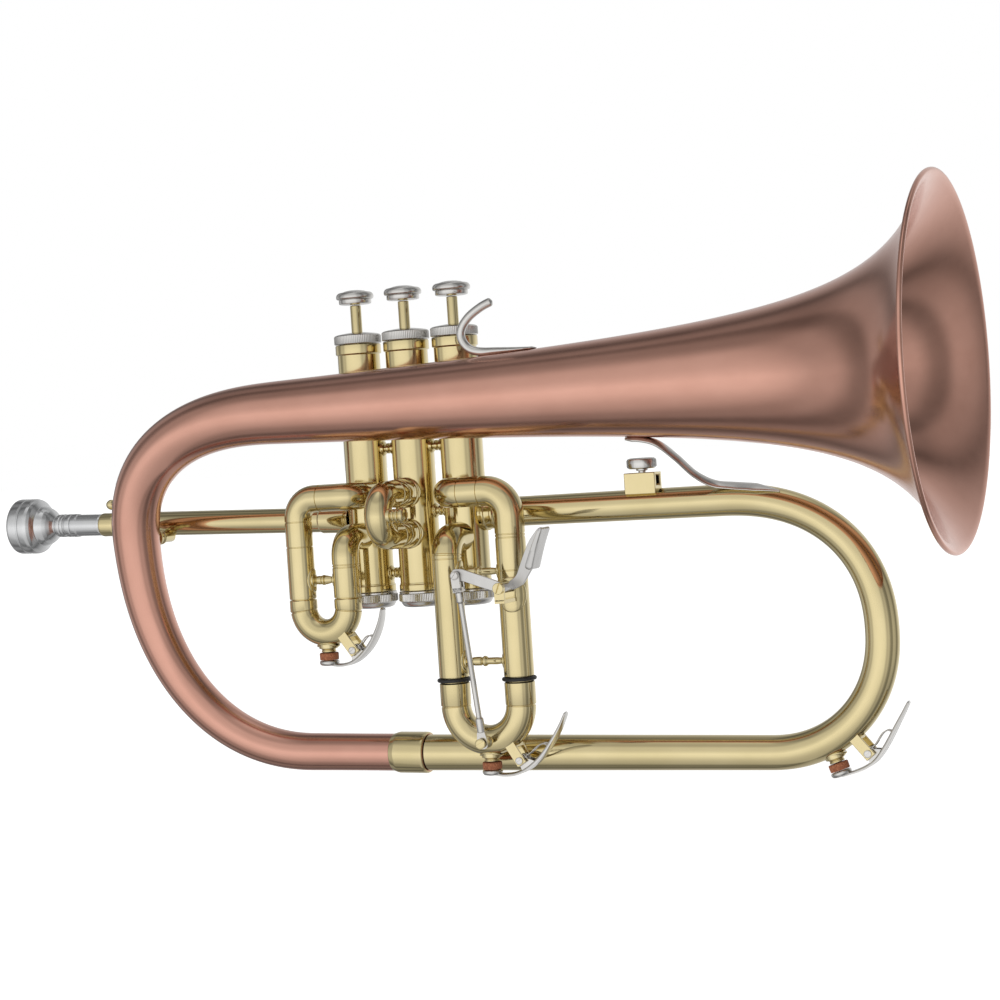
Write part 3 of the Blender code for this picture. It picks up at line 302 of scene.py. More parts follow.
class Route:
    """A line in space with its length and a frame that does not twist along it."""

    def __init__(self, points, hint=None):
        self.points = [Vector(points[0])]
        for p in points[1:]:
            if (Vector(p) - self.points[-1]).length > 0.02:
                self.points.append(Vector(p))
        self.lengths = [0.0]
        for a, b in zip(self.points, self.points[1:]):
            self.lengths.append(self.lengths[-1] + (b - a).length)
        self.total = self.lengths[-1]
        self.frames = self.carry_frames(hint)

    def carry_frames(self, hint):
        tangents = []
        last = len(self.points) - 1
        for i in range(last + 1):
            d = self.points[min(i + 1, last)] - self.points[max(i - 1, 0)]
            tangents.append(d.normalized())
        if hint is None:
            hint = Z if abs(tangents[0].z) < 0.9 else Y
        side, up = square_to(tangents[0], hint)
        frames = [(side, up)]
        for before, after in zip(tangents, tangents[1:]):
            carried = before.rotation_difference(after) @ frames[-1][1]
            frames.append(square_to(after, carried))
        return frames

    def at(self, length):
        """Centre, side and up at a length along the line, which runs straight on past its ends."""
        i = min(max(bisect_right(self.lengths, length) - 1, 0), len(self.points) - 2)
        t = (length - self.lengths[i]) / (self.lengths[i + 1] - self.lengths[i])
        centre = self.points[i].lerp(self.points[i + 1], t)
        blend = min(max(t, 0.0), 1.0)
        side = self.frames[i][0].lerp(self.frames[i + 1][0], blend).normalized()
        up = self.frames[i][1].lerp(self.frames[i + 1][1], blend).normalized()
        return centre, side, up


def straight(base, direction, hint=None):
    """A straight route on which a length is a height above its base."""
    return Route([Vector(base), Vector(base) + Vector(direction).normalized()], hint)


def tube_profile(start, end, radius, step, seams=()):
    """(length, radius) pairs along a tube, with a fine groove cut at each seam."""
    marks = []
    count = max(int((end - start) / step), 1)
    for k in range(count + 1):
        s = start + (end - start) * k / count
        if all(abs(s - seam) > SEAM_HALF * 1.2 for seam in seams):
            marks.append((s, 0.0))
    for seam in seams:
        marks.append((seam - SEAM_HALF, 0.0))
        marks.append((seam - SEAM_HALF * 0.5, SEAM_DEPTH))
        marks.append((seam + SEAM_HALF * 0.5, SEAM_DEPTH))
        marks.append((seam + SEAM_HALF, 0.0))
    marks.sort()
    return [(s, radius(s) - cut) for s, cut in marks]


def raised(outline, rise, widen=0.0):
    """The outline with widen added to its first measure and rise to its second."""
    return [(a + widen, b + rise) for a, b in outline]


# --- meshes

class Shape:
    """Points, faces and each point's place in the grain: round the part, then along."""

    def __init__(self):
        self.points = []
        self.faces = []
        self.grain = []

    def add(self, points, faces, grain=None):
        start = len(self.points)
        self.points += points
        self.faces += [tuple(start + i for i in face) for face in faces]
        self.grain += grain or [Vector(p) for p in points]

    def loft(self, rings, grains, closed):
        """Quads between rings of points; closed joins the last ring to the first."""
        seg = len(rings[0])
        count = len(rings)
        faces = []
        for i in range(count if closed else count - 1):
            a = i * seg
            b = ((i + 1) % count) * seg
            for k in range(seg):
                m = (k + 1) % seg
                faces.append((a + k, a + m, b + m, b + k))
        if not closed:
            faces.append(tuple(range(seg)))
            faces.append(tuple((count - 1) * seg + k for k in range(seg)))
        self.add([p for r in rings for p in r], faces, [g for r in grains for g in r])

    def sweep(self, route, profile, closed=True, seg=ROUND, teeth=None):
        """Rings along a route from (length, radius) pairs. teeth is (first, last, depth) of a knurl."""
        rings = []
        grains = []
        for i, (s, r) in enumerate(profile):
            centre, side, up = route.at(s)
            ring = []
            grain = []
            for k in range(seg):
                a = 2.0 * pi * k / seg
                rr = r
                if teeth and teeth[0] <= i <= teeth[1] and k % 2:
                    rr = r - teeth[2]
                ring.append(centre + side * (rr * cos(a)) + up * (rr * sin(a)))
                grain.append(Vector((rr * cos(a), rr * sin(a), s)))
            rings.append(ring)
            grains.append(grain)
        self.loft(rings, grains, closed)

    def turn(self, profile, base, direction, reach, closed=False, seg=ROUND):
        """A turned solid from (radius, height) pairs, its corners rounded; closed makes a sleeve."""
        line = soften([(h, r) for r, h in profile], reach, 3, closed)
        self.sweep(straight(base, direction), [(p[0], max(p[1], 0.0)) for p in line], closed, seg)

    def plate(self, outline, depth, base, side, up, shift=0.0):
        """A flat plate: the outline in (side, up), thickened both ways along their normal."""
        normal = side.cross(up)
        mid = Vector(base) + normal * shift
        count = len(outline)
        low = [mid + side * p[0] + up * p[1] - normal * (depth / 2.0) for p in outline]
        high = [p + normal * depth for p in low]
        faces = [tuple(range(count))[::-1], tuple(range(count, 2 * count))]
        for k in range(count):
            m = (k + 1) % count
            faces.append((k, m, count + m, count + k))
        self.add(low + high, faces)

    def bar(self, route, sizes, section, across, count=40):
        """A bar along a route. sizes gives (width, thickness) at a share of its length."""
        rings = []
        for i in range(count + 1):
            share = i / count
            centre, side, up = route.at(share * route.total)
            ahead = side.cross(up)
            wide = (across - ahead * across.dot(ahead)).normalized()
            thick = ahead.cross(wide).normalized()
            w, t = sizes(share)
            rings.append([centre + wide * (u * w / 2.0) + thick * (v * t / 2.0) for u, v in section])
        self.loft(rings, rings, False)

    def block(self, centre, size, axes=(X, Y, Z)):
        half = [a.normalized() * (s / 2.0) for a, s in zip(axes, size)]
        points = []
        for i in (-1, 1):
            for j in (-1, 1):
                for k in (-1, 1):
                    points.append(Vector(centre) + half[0] * i + half[1] * j + half[2] * k)
        faces = [(0, 1, 3, 2), (4, 6, 7, 5), (0, 4, 5, 1), (2, 3, 7, 6), (0, 2, 6, 4), (1, 5, 7, 3)]
        self.add(points, faces)

    def flange(self, axis_point, axis, tube_r, towards, half_long, half_wide, thick, seg=48):
        """A thin oval plate wrapped on a tube, its edge rounded, centred on the side facing towards."""
        axis = axis.normalized()
        out = (towards - axis * towards.dot(axis)).normalized()
        side = axis.cross(out)
        levels = [(0.0, 1.0), (0.4, 1.0), (0.72, 1.0), (0.9, 0.9), (0.97, 0.6), (1.0, 0.15), (1.0, -0.6)]
        rings = []
        for q, lift in levels:
            ring = []
            for k in range(seg):
                a = 2.0 * pi * k / seg
                bend = half_wide * q * cos(a) / tube_r
                r = tube_r + thick * lift
                ring.append(Vector(axis_point) + axis * (half_long * q * sin(a))
                            + out * (r * cos(bend)) + side * (r * sin(bend)))
            rings.append(ring)
        self.loft(rings, rings, False)

    def screw_head(self, base, direction, radius, height, turn, slot=0.55):
        """A slotted round head: a disc, and two half discs that leave the slot between them."""
        d = Vector(direction).normalized()
        side, up = square_to(d, Z if abs(d.z) < 0.9 else Y)
        self.turn([(0, 0), (radius, 0), (radius, height * 0.55), (0, height * 0.55)], base, d, 0.12, seg=40)
        along = side * cos(turn) + up * sin(turn)
        cross = d.cross(along)
        reach = acos(slot / 2.0 / radius)
        for sign in (1, -1):
            rings = []
            for r, h in ((radius, 0.5), (radius, 0.86), (radius * 0.93, 0.96), (radius * 0.6, 1.0)):
                ring = []
                for k in range(21):
                    a = reach * (2.0 * k / 20 - 1.0)
                    ring.append(Vector(base) + d * (height * h) + cross * (sign * max(
                        r * cos(a), slot / 2.0)) + along * (r * sin(a)))
                rings.append(ring)
            self.loft(rings, rings, False)


CIRCLE = [(cos(pi * k / 16), sin(pi * k / 16)) for k in range(32)]
FLAT = [tuple(p) for p in soften([(-1, -1), (1, -1), (1, 1), (-1, 1)], 0.3, 3, True)]
HALF_ROUND = [tuple(p) for p in soften(
    [(-1, -0.8), (-1, -1), (1, -1), (1, -0.8)]
    + [(cos(pi * k / 12), sin(pi * k / 12)) for k in range(1, 12)], 0.08, 1, True)]


def add_object(name, data):
    ob = bpy.data.objects.new(name, data)
    bpy.context.scene.collection.objects.link(ob)
    return ob


def fine(node, shape, look="brass", body="body", bevel=0.0, extra=()):
    """Make a fine object for a CAD node with the look's material, smooth it, tie it to its body, and hide
    its CAD nodes.
    """
    mat, slot = LOOKS[look]
    nodes = [node, *extra]
    mesh = bpy.data.meshes.new("fine_" + node)
    mesh.from_pydata([p * MM for p in shape.points], [], shape.faces)
    grain = mesh.attributes.new("grain", "FLOAT_VECTOR", "POINT")
    grain.data.foreach_set("vector", [c for g in shape.grain for c in g])
    bm = bmesh.new()
    bm.from_mesh(mesh)
    bmesh.ops.remove_doubles(bm, verts=bm.verts, dist=1e-7)
    bmesh.ops.dissolve_degenerate(bm, edges=bm.edges, dist=1e-7)
    bmesh.ops.recalc_face_normals(bm, faces=bm.faces)
    bm.to_mesh(mesh)
    bm.free()
    mesh.shade_smooth()
    mesh.set_sharp_from_angle(angle=radians(36.0))
    mesh.materials.append(mat)
    ob = add_object("fine_" + node, mesh)
    if bevel:
        mod = ob.modifiers.new("edges", "BEVEL")
        mod.width = bevel * MM
        mod.segments = 2
        mod.limit_method = "ANGLE"
        mod.angle_limit = radians(50.0)
    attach(ob, body)
    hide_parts(*nodes)


def turned(node, profile, base, direction, reach, closed=False, seg=ROUND, look="brass", body="body"):
    """A piece that is one turned solid, or one sleeve."""
    shape = Shape()
    shape.turn(profile, base, direction, reach, closed, seg)
    fine(node, shape, look, body)


# --- materials

def set_inputs(node, values):
    for socket, value in values.items():
        node.inputs[socket].default_value = value


class Nodes:
    """A small helper to wire the nodes of a material or of the world."""

    def __init__(self, owner):
        owner.use_nodes = True
        self.owner = owner
        self.tree = owner.node_tree
        self.shader = self.tree.nodes.get("Principled BSDF")

    def add(self, kind, values=None, **settings):
        node = self.tree.nodes.new(kind)
        for key, value in settings.items():
            setattr(node, key, value)
        set_inputs(node, values or {})
        return node

    def wire(self, source, target):
        self.tree.links.new(source, target)

    def noise(self, stretch, detail=3.0, rough=0.55):
        """Noise in the grain of the part, in millimetres, stretched by (across, across, along)."""
        grain = self.add("ShaderNodeAttribute", attribute_name="grain")
        mapping = self.add("ShaderNodeMapping", {"Scale": stretch})
        self.wire(grain.outputs["Vector"], mapping.inputs["Vector"])
        node = self.add("ShaderNodeTexNoise", {"Scale": 1.0, "Detail": detail, "Roughness": rough})
        self.wire(mapping.outputs["Vector"], node.inputs["Vector"])
        return node.outputs["Fac"]

    def ramp(self, source, stops):
        """A colour ramp from (place, colour) stops, where one number stands for a grey."""
        node = self.add("ShaderNodeValToRGB")
        band = node.color_ramp.elements
        while len(band) < len(stops):
            band.new(0.5)
        for element, (place, value) in zip(band, stops):
            element.position = place
            element.color = (*value, 1.0) if isinstance(value, tuple) else (value, value, value, 1.0)
        self.wire(source, node.inputs["Fac"])
        return node.outputs["Color"]

    def levels(self, source, low, high):
        """Turn a 0.3 to 0.7 noise into a number between low and high."""
        values = {"From Min": 0.3, "From Max": 0.7, "To Min": low, "To Max": high}
        node = self.add("ShaderNodeMapRange", values)
        self.wire(source, node.inputs["Value"])
        return node.outputs["Result"]

    def math(self, operation, *values):
        node = self.add("ShaderNodeMath", operation=operation)
        for socket, value in zip(node.inputs, values):
            if isinstance(value, float):
                socket.default_value = value
            else:
                self.wire(value, socket)
        return node.outputs[0]


def make_surface(name, tone, stops, polish, rough, relief, depth):
    """A material whose colour, roughness and relief, depth millimetres deep, each follow a noise."""
    n = Nodes(bpy.data.materials.new(name))
    n.wire(n.ramp(n.noise(*tone), stops), n.shader.inputs["Base Color"])
    n.wire(n.levels(n.noise(*polish), *rough), n.shader.inputs["Roughness"])
    bump = n.add("ShaderNodeBump", {"Strength": 1.0, "Distance": depth * MM})
    n.wire(n.noise(*relief), bump.inputs["Height"])
    n.wire(bump.outputs["Normal"], n.shader.inputs["Normal"])
    return n


def make_metal(name, dark, light, rough, depth=0.0003, lines=(3.0, 3.0, 0.12), coat=0.0):
    """Polished or brushed metal: drifting tone, uneven polish, and fine lines along the part."""
    n = make_surface(name, ((0.06, 0.06, 0.035),), [(0.32, dark), (0.68, light)],
                     ((0.22, 0.22, 0.08), 5.0), rough, (lines, 2.0), depth)
    set_inputs(n.shader, {"Metallic": 1.0, "Coat Weight": coat, "Coat Roughness": 0.12})
    return n.owner


def make_cork():
    """Dense red-brown cork with darker pores."""
    stops = [(0.3, (0.10, 0.028, 0.012)), (0.5, (0.30, 0.10, 0.045)), (0.7, (0.46, 0.19, 0.09))]
    return make_surface("cork_disc", ((1.6, 1.6, 1.6), 6.0, 0.7), stops, ((2.2, 2.2, 2.2),), (0.75, 0.95),
                        ((2.0, 2.0, 2.0), 5.0), 0.12).owner


def make_rubber():
    stops = [(0.3, (0.006, 0.006, 0.006)), (0.7, (0.018, 0.018, 0.018))]
    return make_surface("black_rubber", ((0.8, 0.8, 0.8),), stops, ((1.5, 1.5, 1.5),), (0.42, 0.6),
                        ((3.0, 3.0, 3.0),), 0.01).owner


# Each look: its material and the material slot that it finishes
LOOKS = {
    "brass": (make_metal("lacquered_brass_polished", (0.66, 0.555, 0.30), (0.72, 0.61, 0.345), (0.08, 0.13),
                         0.0004, coat=0.2), "lacquered_brass"),
    "copper": (make_metal("copper_satin", (0.63, 0.335, 0.255), (0.68, 0.37, 0.285), (0.16, 0.21),
                          0.0002, (3.0, 3.0, 0.06), 0.15), "copper_bell"),
    "nickel": (make_metal("nickel_satin", (0.60, 0.585, 0.56), (0.70, 0.685, 0.66), (0.16, 0.25)),
               "nickel_plate"),
    "brushed": (make_metal("nickel_brushed", (0.55, 0.54, 0.525), (0.63, 0.62, 0.605), (0.24, 0.34),
                           0.0012, (2.0, 2.0, 6.0)), "nickel_plate"),
    "silver": (make_metal("silver_satin", (0.62, 0.625, 0.63), (0.71, 0.715, 0.72), (0.15, 0.21)),
               "silver_plate"),
    "cork": (make_cork(), "cork"),
    "rubber": (make_rubber(), "rubber"),
}


# --- valves

def valve_x(index):
    return (index - 2) * VALVE_PITCH


def make_casing(index):
    """A valve casing with a band under the top cap and another above the bottom cap."""
    foot = [(0.5, 0), (0.5, 2.6), (0.15, 2.9), (0.15, 3.3), (0, 3.5)]
    head = [(0, -4.6), (0.75, -4.2), (0.75, -0.3), (0.5, 0)]
    profile = [(CASING_BORE_R, CASING_BOTTOM)] + raised(foot, CASING_BOTTOM, CASING_R)
    profile += raised(head, CASING_TOP, CASING_R) + [(CASING_BORE_R, CASING_TOP)]
    turned("casing_%d" % index, profile, (valve_x(index), 0, 0), Z, 0.2, True, FINE)


def add_cap(node, index, line, teeth):
    shape = Shape()
    shape.sweep(straight((valve_x(index), 0, 0), Z), line, True, 2 * KNURLS, teeth)
    fine("%s_%d" % (node, index), shape, "nickel")


def make_top_cap(index):
    """A nickel cap: knurled band, rounded shoulder and a slightly domed top."""
    z = CASING_TOP + GAP
    hole = STEM_R + 0.35
    edge = [(0, -0.35), (0.25, -0.05), (0.5, 0), (3.4, 0), (3.7, -0.1), (4.05, -0.5), (4.3, -1.1),
            (4.6, -2.6)]
    crown = [(5.05, 2.0), (5.2, 0.8), (5.1, 0.2), (4.7, 0)]
    line = [(z, hole)] + raised(edge, CAP_R, z) + raised(crown, hole, z)
    add_cap("top_cap", index, line, (3, 4, 0.26))


def make_bottom_cap(index):
    """A nickel cap: plain ring, broad knurled ring, then a tapered and rounded end."""
    z = CASING_BOTTOM - GAP
    edge = [(0, -0.6), (-0.2, -0.35), (-0.8, -0.35), (-1.0, -0.6), (-1.15, -0.1), (-1.4, 0), (-4.1, 0),
            (-4.4, -0.15), (-4.7, -0.8), (-5.2, -1.1), (-6.3, -1.7), (-6.9, -2.5), (-7.2, -3.8)]
    hollow = [(-6.7, 4.0), (-6.4, 1.9), (-6.0, 1.6)]
    line = [(z, 1.6)] + raised(edge, CAP_R, z) + raised(hollow, 0.0, z)
    add_cap("bottom_cap", index, line, (6, 7, 0.28))


def make_piston(index):
    profile = [(0, PISTON_BOTTOM), (PISTON_R, PISTON_BOTTOM), (PISTON_R, PISTON_TOP),
               (STEM_R + 0.6, PISTON_TOP), (STEM_R, PISTON_TOP + 0.8), (STEM_R, BUTTON_Z - GAP),
               (0, BUTTON_Z - GAP)]
    turned("piston_%d" % index, profile, (valve_x(index), 0, 0), Z, 0.4, body="valve_%d" % index)


def make_button(index):
    """A finger button: rounded disc with a shallow dish line on top and a stepped collar below."""
    edge = [(0.25, -2.0), (0.45, -1.35), (0.8, -1.15), (2.1, -1.15), (2.3, -1.3), (2.5, -0.75), (2.7, -0.3),
            (3.1, -0.06), (3.6, 0), (4.3, -0.1), (5.0, -0.5), (5.5, -1.2), (5.65, -1.9), (5.55, -2.3),
            (5.75, -2.7), (6.2, -4.0), (6.5, -5.6)]
    line = [(BUTTON_Z, 0), (BUTTON_Z, STEM_R + 0.9)] + raised(edge, BUTTON_R, BUTTON_Z)
    line.append((BUTTON_Z + BUTTON_H, 0))
    shape = Shape()
    shape.sweep(straight((valve_x(index), 0, 0), Z), line, False, FINE)
    fine("button_%d" % index, shape, "nickel", "valve_%d" % index)


def make_casing_brace(left_index, place, z):
    """A turned spool between two casings with a centre ring and a small flange on each casing."""
    left = valve_x(left_index)
    mid = VALVE_PITCH / 2.0
    edge = CASING_R
    half = [(2.9, edge - 0.6), (2.9, edge + 0.75), (1.9, edge + 1.0), (1.7, edge + 1.5), (1.55, mid - 0.75),
            (2.35, mid - 0.55)]
    profile = [(0, edge - 0.6)] + half
    profile += [(r, 2 * mid - h) for r, h in half[::-1]] + [(0, 2 * mid - edge + 0.6)]
    shape = Shape()
    shape.turn(profile, (left, 0, z), X, 0.22, seg=48)
    for x, towards in ((left, X), (left + VALVE_PITCH, -X)):
        shape.flange((x, 0, z), Z, CASING_R + 0.02, towards, 3.4, 3.0, 0.35, 32)
    fine("brace_%d%d_%s" % (left_index, left_index + 1, place), shape)


# --- bell and main tube

def flare_radius(x):
    """Outside radius of the straight part of the bell at a distance along its axis."""
    curve = FLARE_SCALE / (BELL_END_X - x + FLARE_SHIFT) ** FLARE_POWER
    return FLARE_BASE + FLARE_SLOPE * (x - BELL_END_X) + curve


def bell_route():
    """The line of the bell from its tail, round the left bow and along its axis to the rim."""
    low = quarter_arc((BOW_START_X, BOW_LOW_Z), BOW_LEFT, BOW_LOW_POWER, 90)
    top = quarter_arc((BOW_START_X, 0.0), BOW_LEFT, BOW_TOP_POWER, 80)
    points = [TAIL_END]
    for x, z in low + top[-2::-1]:
        points.append(Vector((x, BELL_Y + (TAIL_END.y - BELL_Y) * z / BOW_LOW_Z, z)))
    points.append(Vector((BELL_JOINT_X, BELL_Y, 0.0)))
    points.append(Vector((BELL_END_X, BELL_Y, 0.0)))
    return Route(points, Z)


def make_bell():
    """Bell and bow as one continuous copper shell, with the rim rolled over its wire."""
    route = bell_route()
    joint = route.total - (BELL_END_X - BELL_JOINT_X)
    joint_r = flare_radius(BELL_JOINT_X)

    def radius(s):
        if s >= joint:
            return flare_radius(BELL_END_X - (route.total - s))
        grow = max(s / joint - 0.08, 0.0) / 0.92
        return TAIL_R + (joint_r - TAIL_R) * grow ** BOW_TAPER

    stations = [joint * k / BOW_RINGS for k in range(BOW_RINGS + 1)]
    for k in range(1, FLARE_RINGS + 1):
        stations.append(joint + FLARE_LENGTH * (1.0 - (1.0 - k / FLARE_RINGS) ** 1.7))
    outer = [(s, radius(s)) for s in stations]
    bead_s = route.total - BEAD_R - 0.15
    bead = []
    for k in range(15):
        a = radians(235.0 - 255.0 * k / 14)
        bead.append((bead_s + BEAD_R * cos(a), BELL_RIM_R - BEAD_R + BEAD_R * sin(a)))
    inner = [(s, radius(s) - BELL_WALL) for s in [route.total - 0.5] + stations[::-1]]
    shape = Shape()
    shape.sweep(route, outer + bead + inner, True, BELL_SIDES)
    fine("bell", shape, "copper", extra=["bell_bow"])


def main_route():
    """The line of the main tube from valve 3 forward, round the crook and back to the tail."""
    top = quarter_arc((CROOK_TOP_X, CROOK_TOP_Z), CROOK_RIGHT, CROOK_TOP_POWER, 80)
    low = quarter_arc((CROOK_BOTTOM.x, CROOK_BOTTOM.z), CROOK_RIGHT, CROOK_LOW_POWER, 80)
    points = [Vector((VALVE_PITCH + CASING_R - 1.0, 0, CROOK_TOP_Z))]
    for x, z in top + low[-2::-1]:
        y = CROOK_BOTTOM.y * (CROOK_TOP_Z - z) / (CROOK_TOP_Z - CROOK_BOTTOM.z)
        points.append(Vector((x, y, z)))
    points.append(TAIL_END + Vector((GAP, 0, 0)))
    return Route(points, Z)


def make_main_tube():
    """The tapered main tube with its ringed collar at valve 3 and the drain of its water key."""
    route = main_route()

    def radius(s):
        return MAIN_R_TOP + (MAIN_R_LOW - MAIN_R_TOP) * max(s / route.total, 0.0) ** 1.2

    collar = [(0.0, 7.1), (1.4, 7.1), (1.7, 7.7), (2.7, 7.7), (3.0, 7.15), (5.6, 7.1), (5.9, 7.5),
              (6.8, 7.5), (7.1, 6.9), (7.5, MAIN_R_TOP)]
    outer = [(p[0], p[1]) for p in soften(collar, 0.2)]
    outer += tube_profile(8.0, route.total, radius, 2.0, [route.total - 48.0])
    inner = [(s, r - SLIDE_WALL) for s, r in tube_profile(0.0, route.total, radius, 6.0)][::-1]
    shape = Shape()
    shape.sweep(route, outer + inner, True, FINE)
    down = key_point(MAIN_KEY_FOOT, MAIN_KEY_TURN, 1.0, 0, -1) - MAIN_KEY_FOOT
    add_nipple(shape, MAIN_KEY_FOOT, down, down.cross(Y), 7.6)
    fine("main_tube", shape)


def make_tail_ferrule():
    """The sleeve on the joint of tail and main tube: chamfered to the copper, rounded to the brass."""
    a = TAIL_END + Vector((-16.9, 0, 0.25))
    b = TAIL_END + Vector((-0.2, 0, 0))
    length = (b - a).length
    profile = [(TAIL_R - 0.1, 0), (TAIL_R + 0.15, 0), (FERRULE_R, 2.6), (FERRULE_R, length - 0.9),
               (FERRULE_R - 0.3, length), (TAIL_R - 0.1, length)]
    turned("bell_ferrule", profile, a, b - a, 0.5, True, FINE)


# --- leadpipe and mouthpiece


def make_leadpipe():
    end = PIPE_END - 20.0
    sleeve = PIPE_R + 0.5
    profile = [(PIPE_R - 0.7, -0.6), (sleeve - 0.5, -0.6), (sleeve - 0.5, 0.2), (sleeve - 0.9, 0.5),
               (sleeve - 0.9, 0.8), (sleeve, 1.1), (sleeve, 13.6), (PIPE_R, 14.4), (PIPE_R, end),
               (PIPE_R - 0.7, end)]
    turned("leadpipe", profile, PIPE_START, PIPE_AHEAD, 0.15, True)


def make_mouthpipe():
    """The sliding mouthpipe with the plain receiver for the mouthpiece at its end."""
    receiver = [(MOUTHPIPE_R, -1.2), (5.3, -0.6), (5.5, 0.3), (5.6, 6.2), (5.4, 7.0), (5.05, 7.0),
                (4.85, -0.9), (3.6, -0.9)]
    profile = [(3.6, 70.0), (MOUTHPIPE_R, 70.0)] + raised(receiver, RECEIVER)
    turned("mouthpipe", profile, PIPE_START, PIPE_AHEAD, 0.25, True, body="mouthpipe_body")


def make_mouthpiece():
    """Cup mouthpiece: plain shank, two turned rings, round bowl, and a wide rim with a groove."""
    tip = RECEIVER - 0.4
    shank = [(2.0, tip), (4.4, tip), (4.7, RECEIVER + 7.0), (5.1, RECEIVER + 8.0)]
    bowl = [
        (5.15, -34.5), (5.5, -34.0), (5.55, -31.6), (5.2, -31.0), (5.5, -30.4), (5.5, -28.3), (4.75, -27.6),
        (5.45, -26.9), (5.55, -25.8), (5.2, -25.2), (5.5, -24.6), (5.4, -23.0), (4.55, -22.3), (4.5, -21.5),
        (6.0, -20.4), (7.4, -19.1), (8.5, -17.5), (9.2, -15.7), (9.5, -14.0), (10.4, -13.5), (11.8, -12.6),
        (12.8, -11.4)]
    rim = [(0, -10.0), (0, -7.0), (-0.3, -6.7), (-0.3, -6.1), (0, -5.8), (0, -1.7), (-0.2, -0.9),
           (-0.9, -0.25), (-2.2, 0), (-3.5, -0.5), (-4.4, -1.8)]
    cup = [(8.0, -4.6), (7.4, -8.0), (6.3, -12.0), (4.2, -17.0), (2.6, -21.5), (2.0, -25.0)]
    line = shank + raised(bowl, MOUTHPIECE) + raised(rim, MOUTHPIECE, MOUTHPIECE_RIM_R)
    line += raised(cup, MOUTHPIECE)
    turned("mouthpiece", line, PIPE_START, PIPE_AHEAD, 0.25, True, FINE, "silver", "mouthpiece_body")


def make_clamp():
    """Collar at the end of the leadpipe with its threaded boss, and the ball-headed lock screw."""
    base = PIPE_START + PIPE_AHEAD * (PIPE_END - 10.5)
    bore = MOUTHPIPE_R + 0.35
    collar_r = PIPE_R + 1.2
    outside = [(-0.3, -2.5), (0, -1.9), (0, 0.4), (-0.3, 0.8), (0, 1.2), (0, 13.2), (-0.4, 14.0)]
    line = [(bore, -2.5)] + raised(outside, 0.0, collar_r) + [(bore, 14.0)]
    shape = Shape()
    shape.turn(raised(line, PIPE_END - 19.5), PIPE_START, PIPE_AHEAD, 0.2, True)
    boss = [(1.6, 5.0), (2.4, 5.0), (2.2, 7.2), (2.2, 8.2), (1.6, 8.2)]
    shape.turn(boss, base, LOCK_AHEAD, 0.2, True, 32)
    fine("clamp", shape)
    knob = [(0, 0), (1.25, 0), (1.25, 0.5), (1.8, 0.7), (1.8, 1.3), (1.1, 1.7), (1.2, 2.2), (1.9, 2.9),
            (2.3, 3.8), (2.4, 4.7), (2.2, 5.6), (1.6, 6.4), (0, 6.8)]
    turned("clamp_screw", knob, base + LOCK_AHEAD * 9.4, LOCK_AHEAD, 0.2, seg=40, body="lock_screw")


def make_bow_brace():
    """Short flanged post between the leadpipe and the back of the left bow."""
    z = (PIPE_START + PIPE_AHEAD * 95).z - 6.0
    profile = [(0, 1.0), (2.6, 1.0), (2.6, 9.0), (3.4, 9.6), (3.4, 10.6), (2.8, 11.2), (2.8, 13.4),
               (4.2, 14.0), (4.2, 15.0), (0, 15.0)]
    turned("bow_brace", profile, (BOW_BRACE_X, 0, z), -Y, 0.3, seg=40)


# --- slides

def seam_lengths(route, places):
    """Lengths along a route of the points nearest to the given places."""
    out = []
    for place in places:
        best = min(range(len(route.points)), key=lambda i: (route.points[i] - Vector(place)).length)
        near = route.points[best]
        ahead = (route.points[min(best + 1, len(route.points) - 1)]
                 - route.points[max(best - 1, 0)]).normalized()
        out.append(route.lengths[best] + (Vector(place) - near).dot(ahead))
    return out


def fixed_tube(node, y, corners, bends, radius, seams):
    """A fixed slide tube through (x, z) corners from its port, with fine seams and a softened mouth."""
    port = (corners[0][0], PORT_Y, corners[0][1])
    route = Route(filleted([port] + [(x, y, z) for x, z in corners], bends))
    end = route.total
    wall = radius - SLIDE_WALL
    cuts = seam_lengths(route, [(x, y, z) for x, z in seams])
    outer = tube_profile(0.0, end - 0.5, lambda s: radius, 1.2, cuts)
    outer += [(end - 0.15, radius - 0.05), (end, radius - 0.2), (end, wall + 0.2)]
    inner = [(end - 0.2 - k * (end - 0.2) / 60, wall) for k in range(61)]
    shape = Shape()
    shape.sweep(route, outer + inner)
    fine(node, shape)


def leg_brace(node, slide, z, bead_r):
    """A turned brace between two slide legs: an oval flange on the left leg, rings and a bead."""
    left, right, y, _, a = slide
    b = right - left - a
    mid = (a + b) / 2.0
    half = (b - a) / 2.0
    profile = [(0, a - 0.5), (2.9, a - 0.5), (2.9, a + 0.5), (1.7, a + 1.2), (1.5, a + half * 0.22),
               (1.95, mid - half * 0.55), (1.95, mid - half * 0.2), (1.5, mid - half * 0.16),
               (2.3, mid - 0.4), (2.3, mid + 0.4), (1.5, mid + half * 0.16), (bead_r, mid + half * 0.22),
               (1.6, mid + half * 0.62), (1.35, b - 0.9), (2.0, b - 0.6), (2.0, b + 0.5), (0, b + 0.5)]
    shape = Shape()
    shape.turn(profile, (left, y, z), X, 0.3, seg=48)
    shape.flange((left, y, z), Z, a + 0.02, X, 5.3, 4.2, 0.5)
    shape.flange((right, y, z), Z, a + 0.02, -X, 3.4, 2.8, 0.4)
    fine(node, shape)


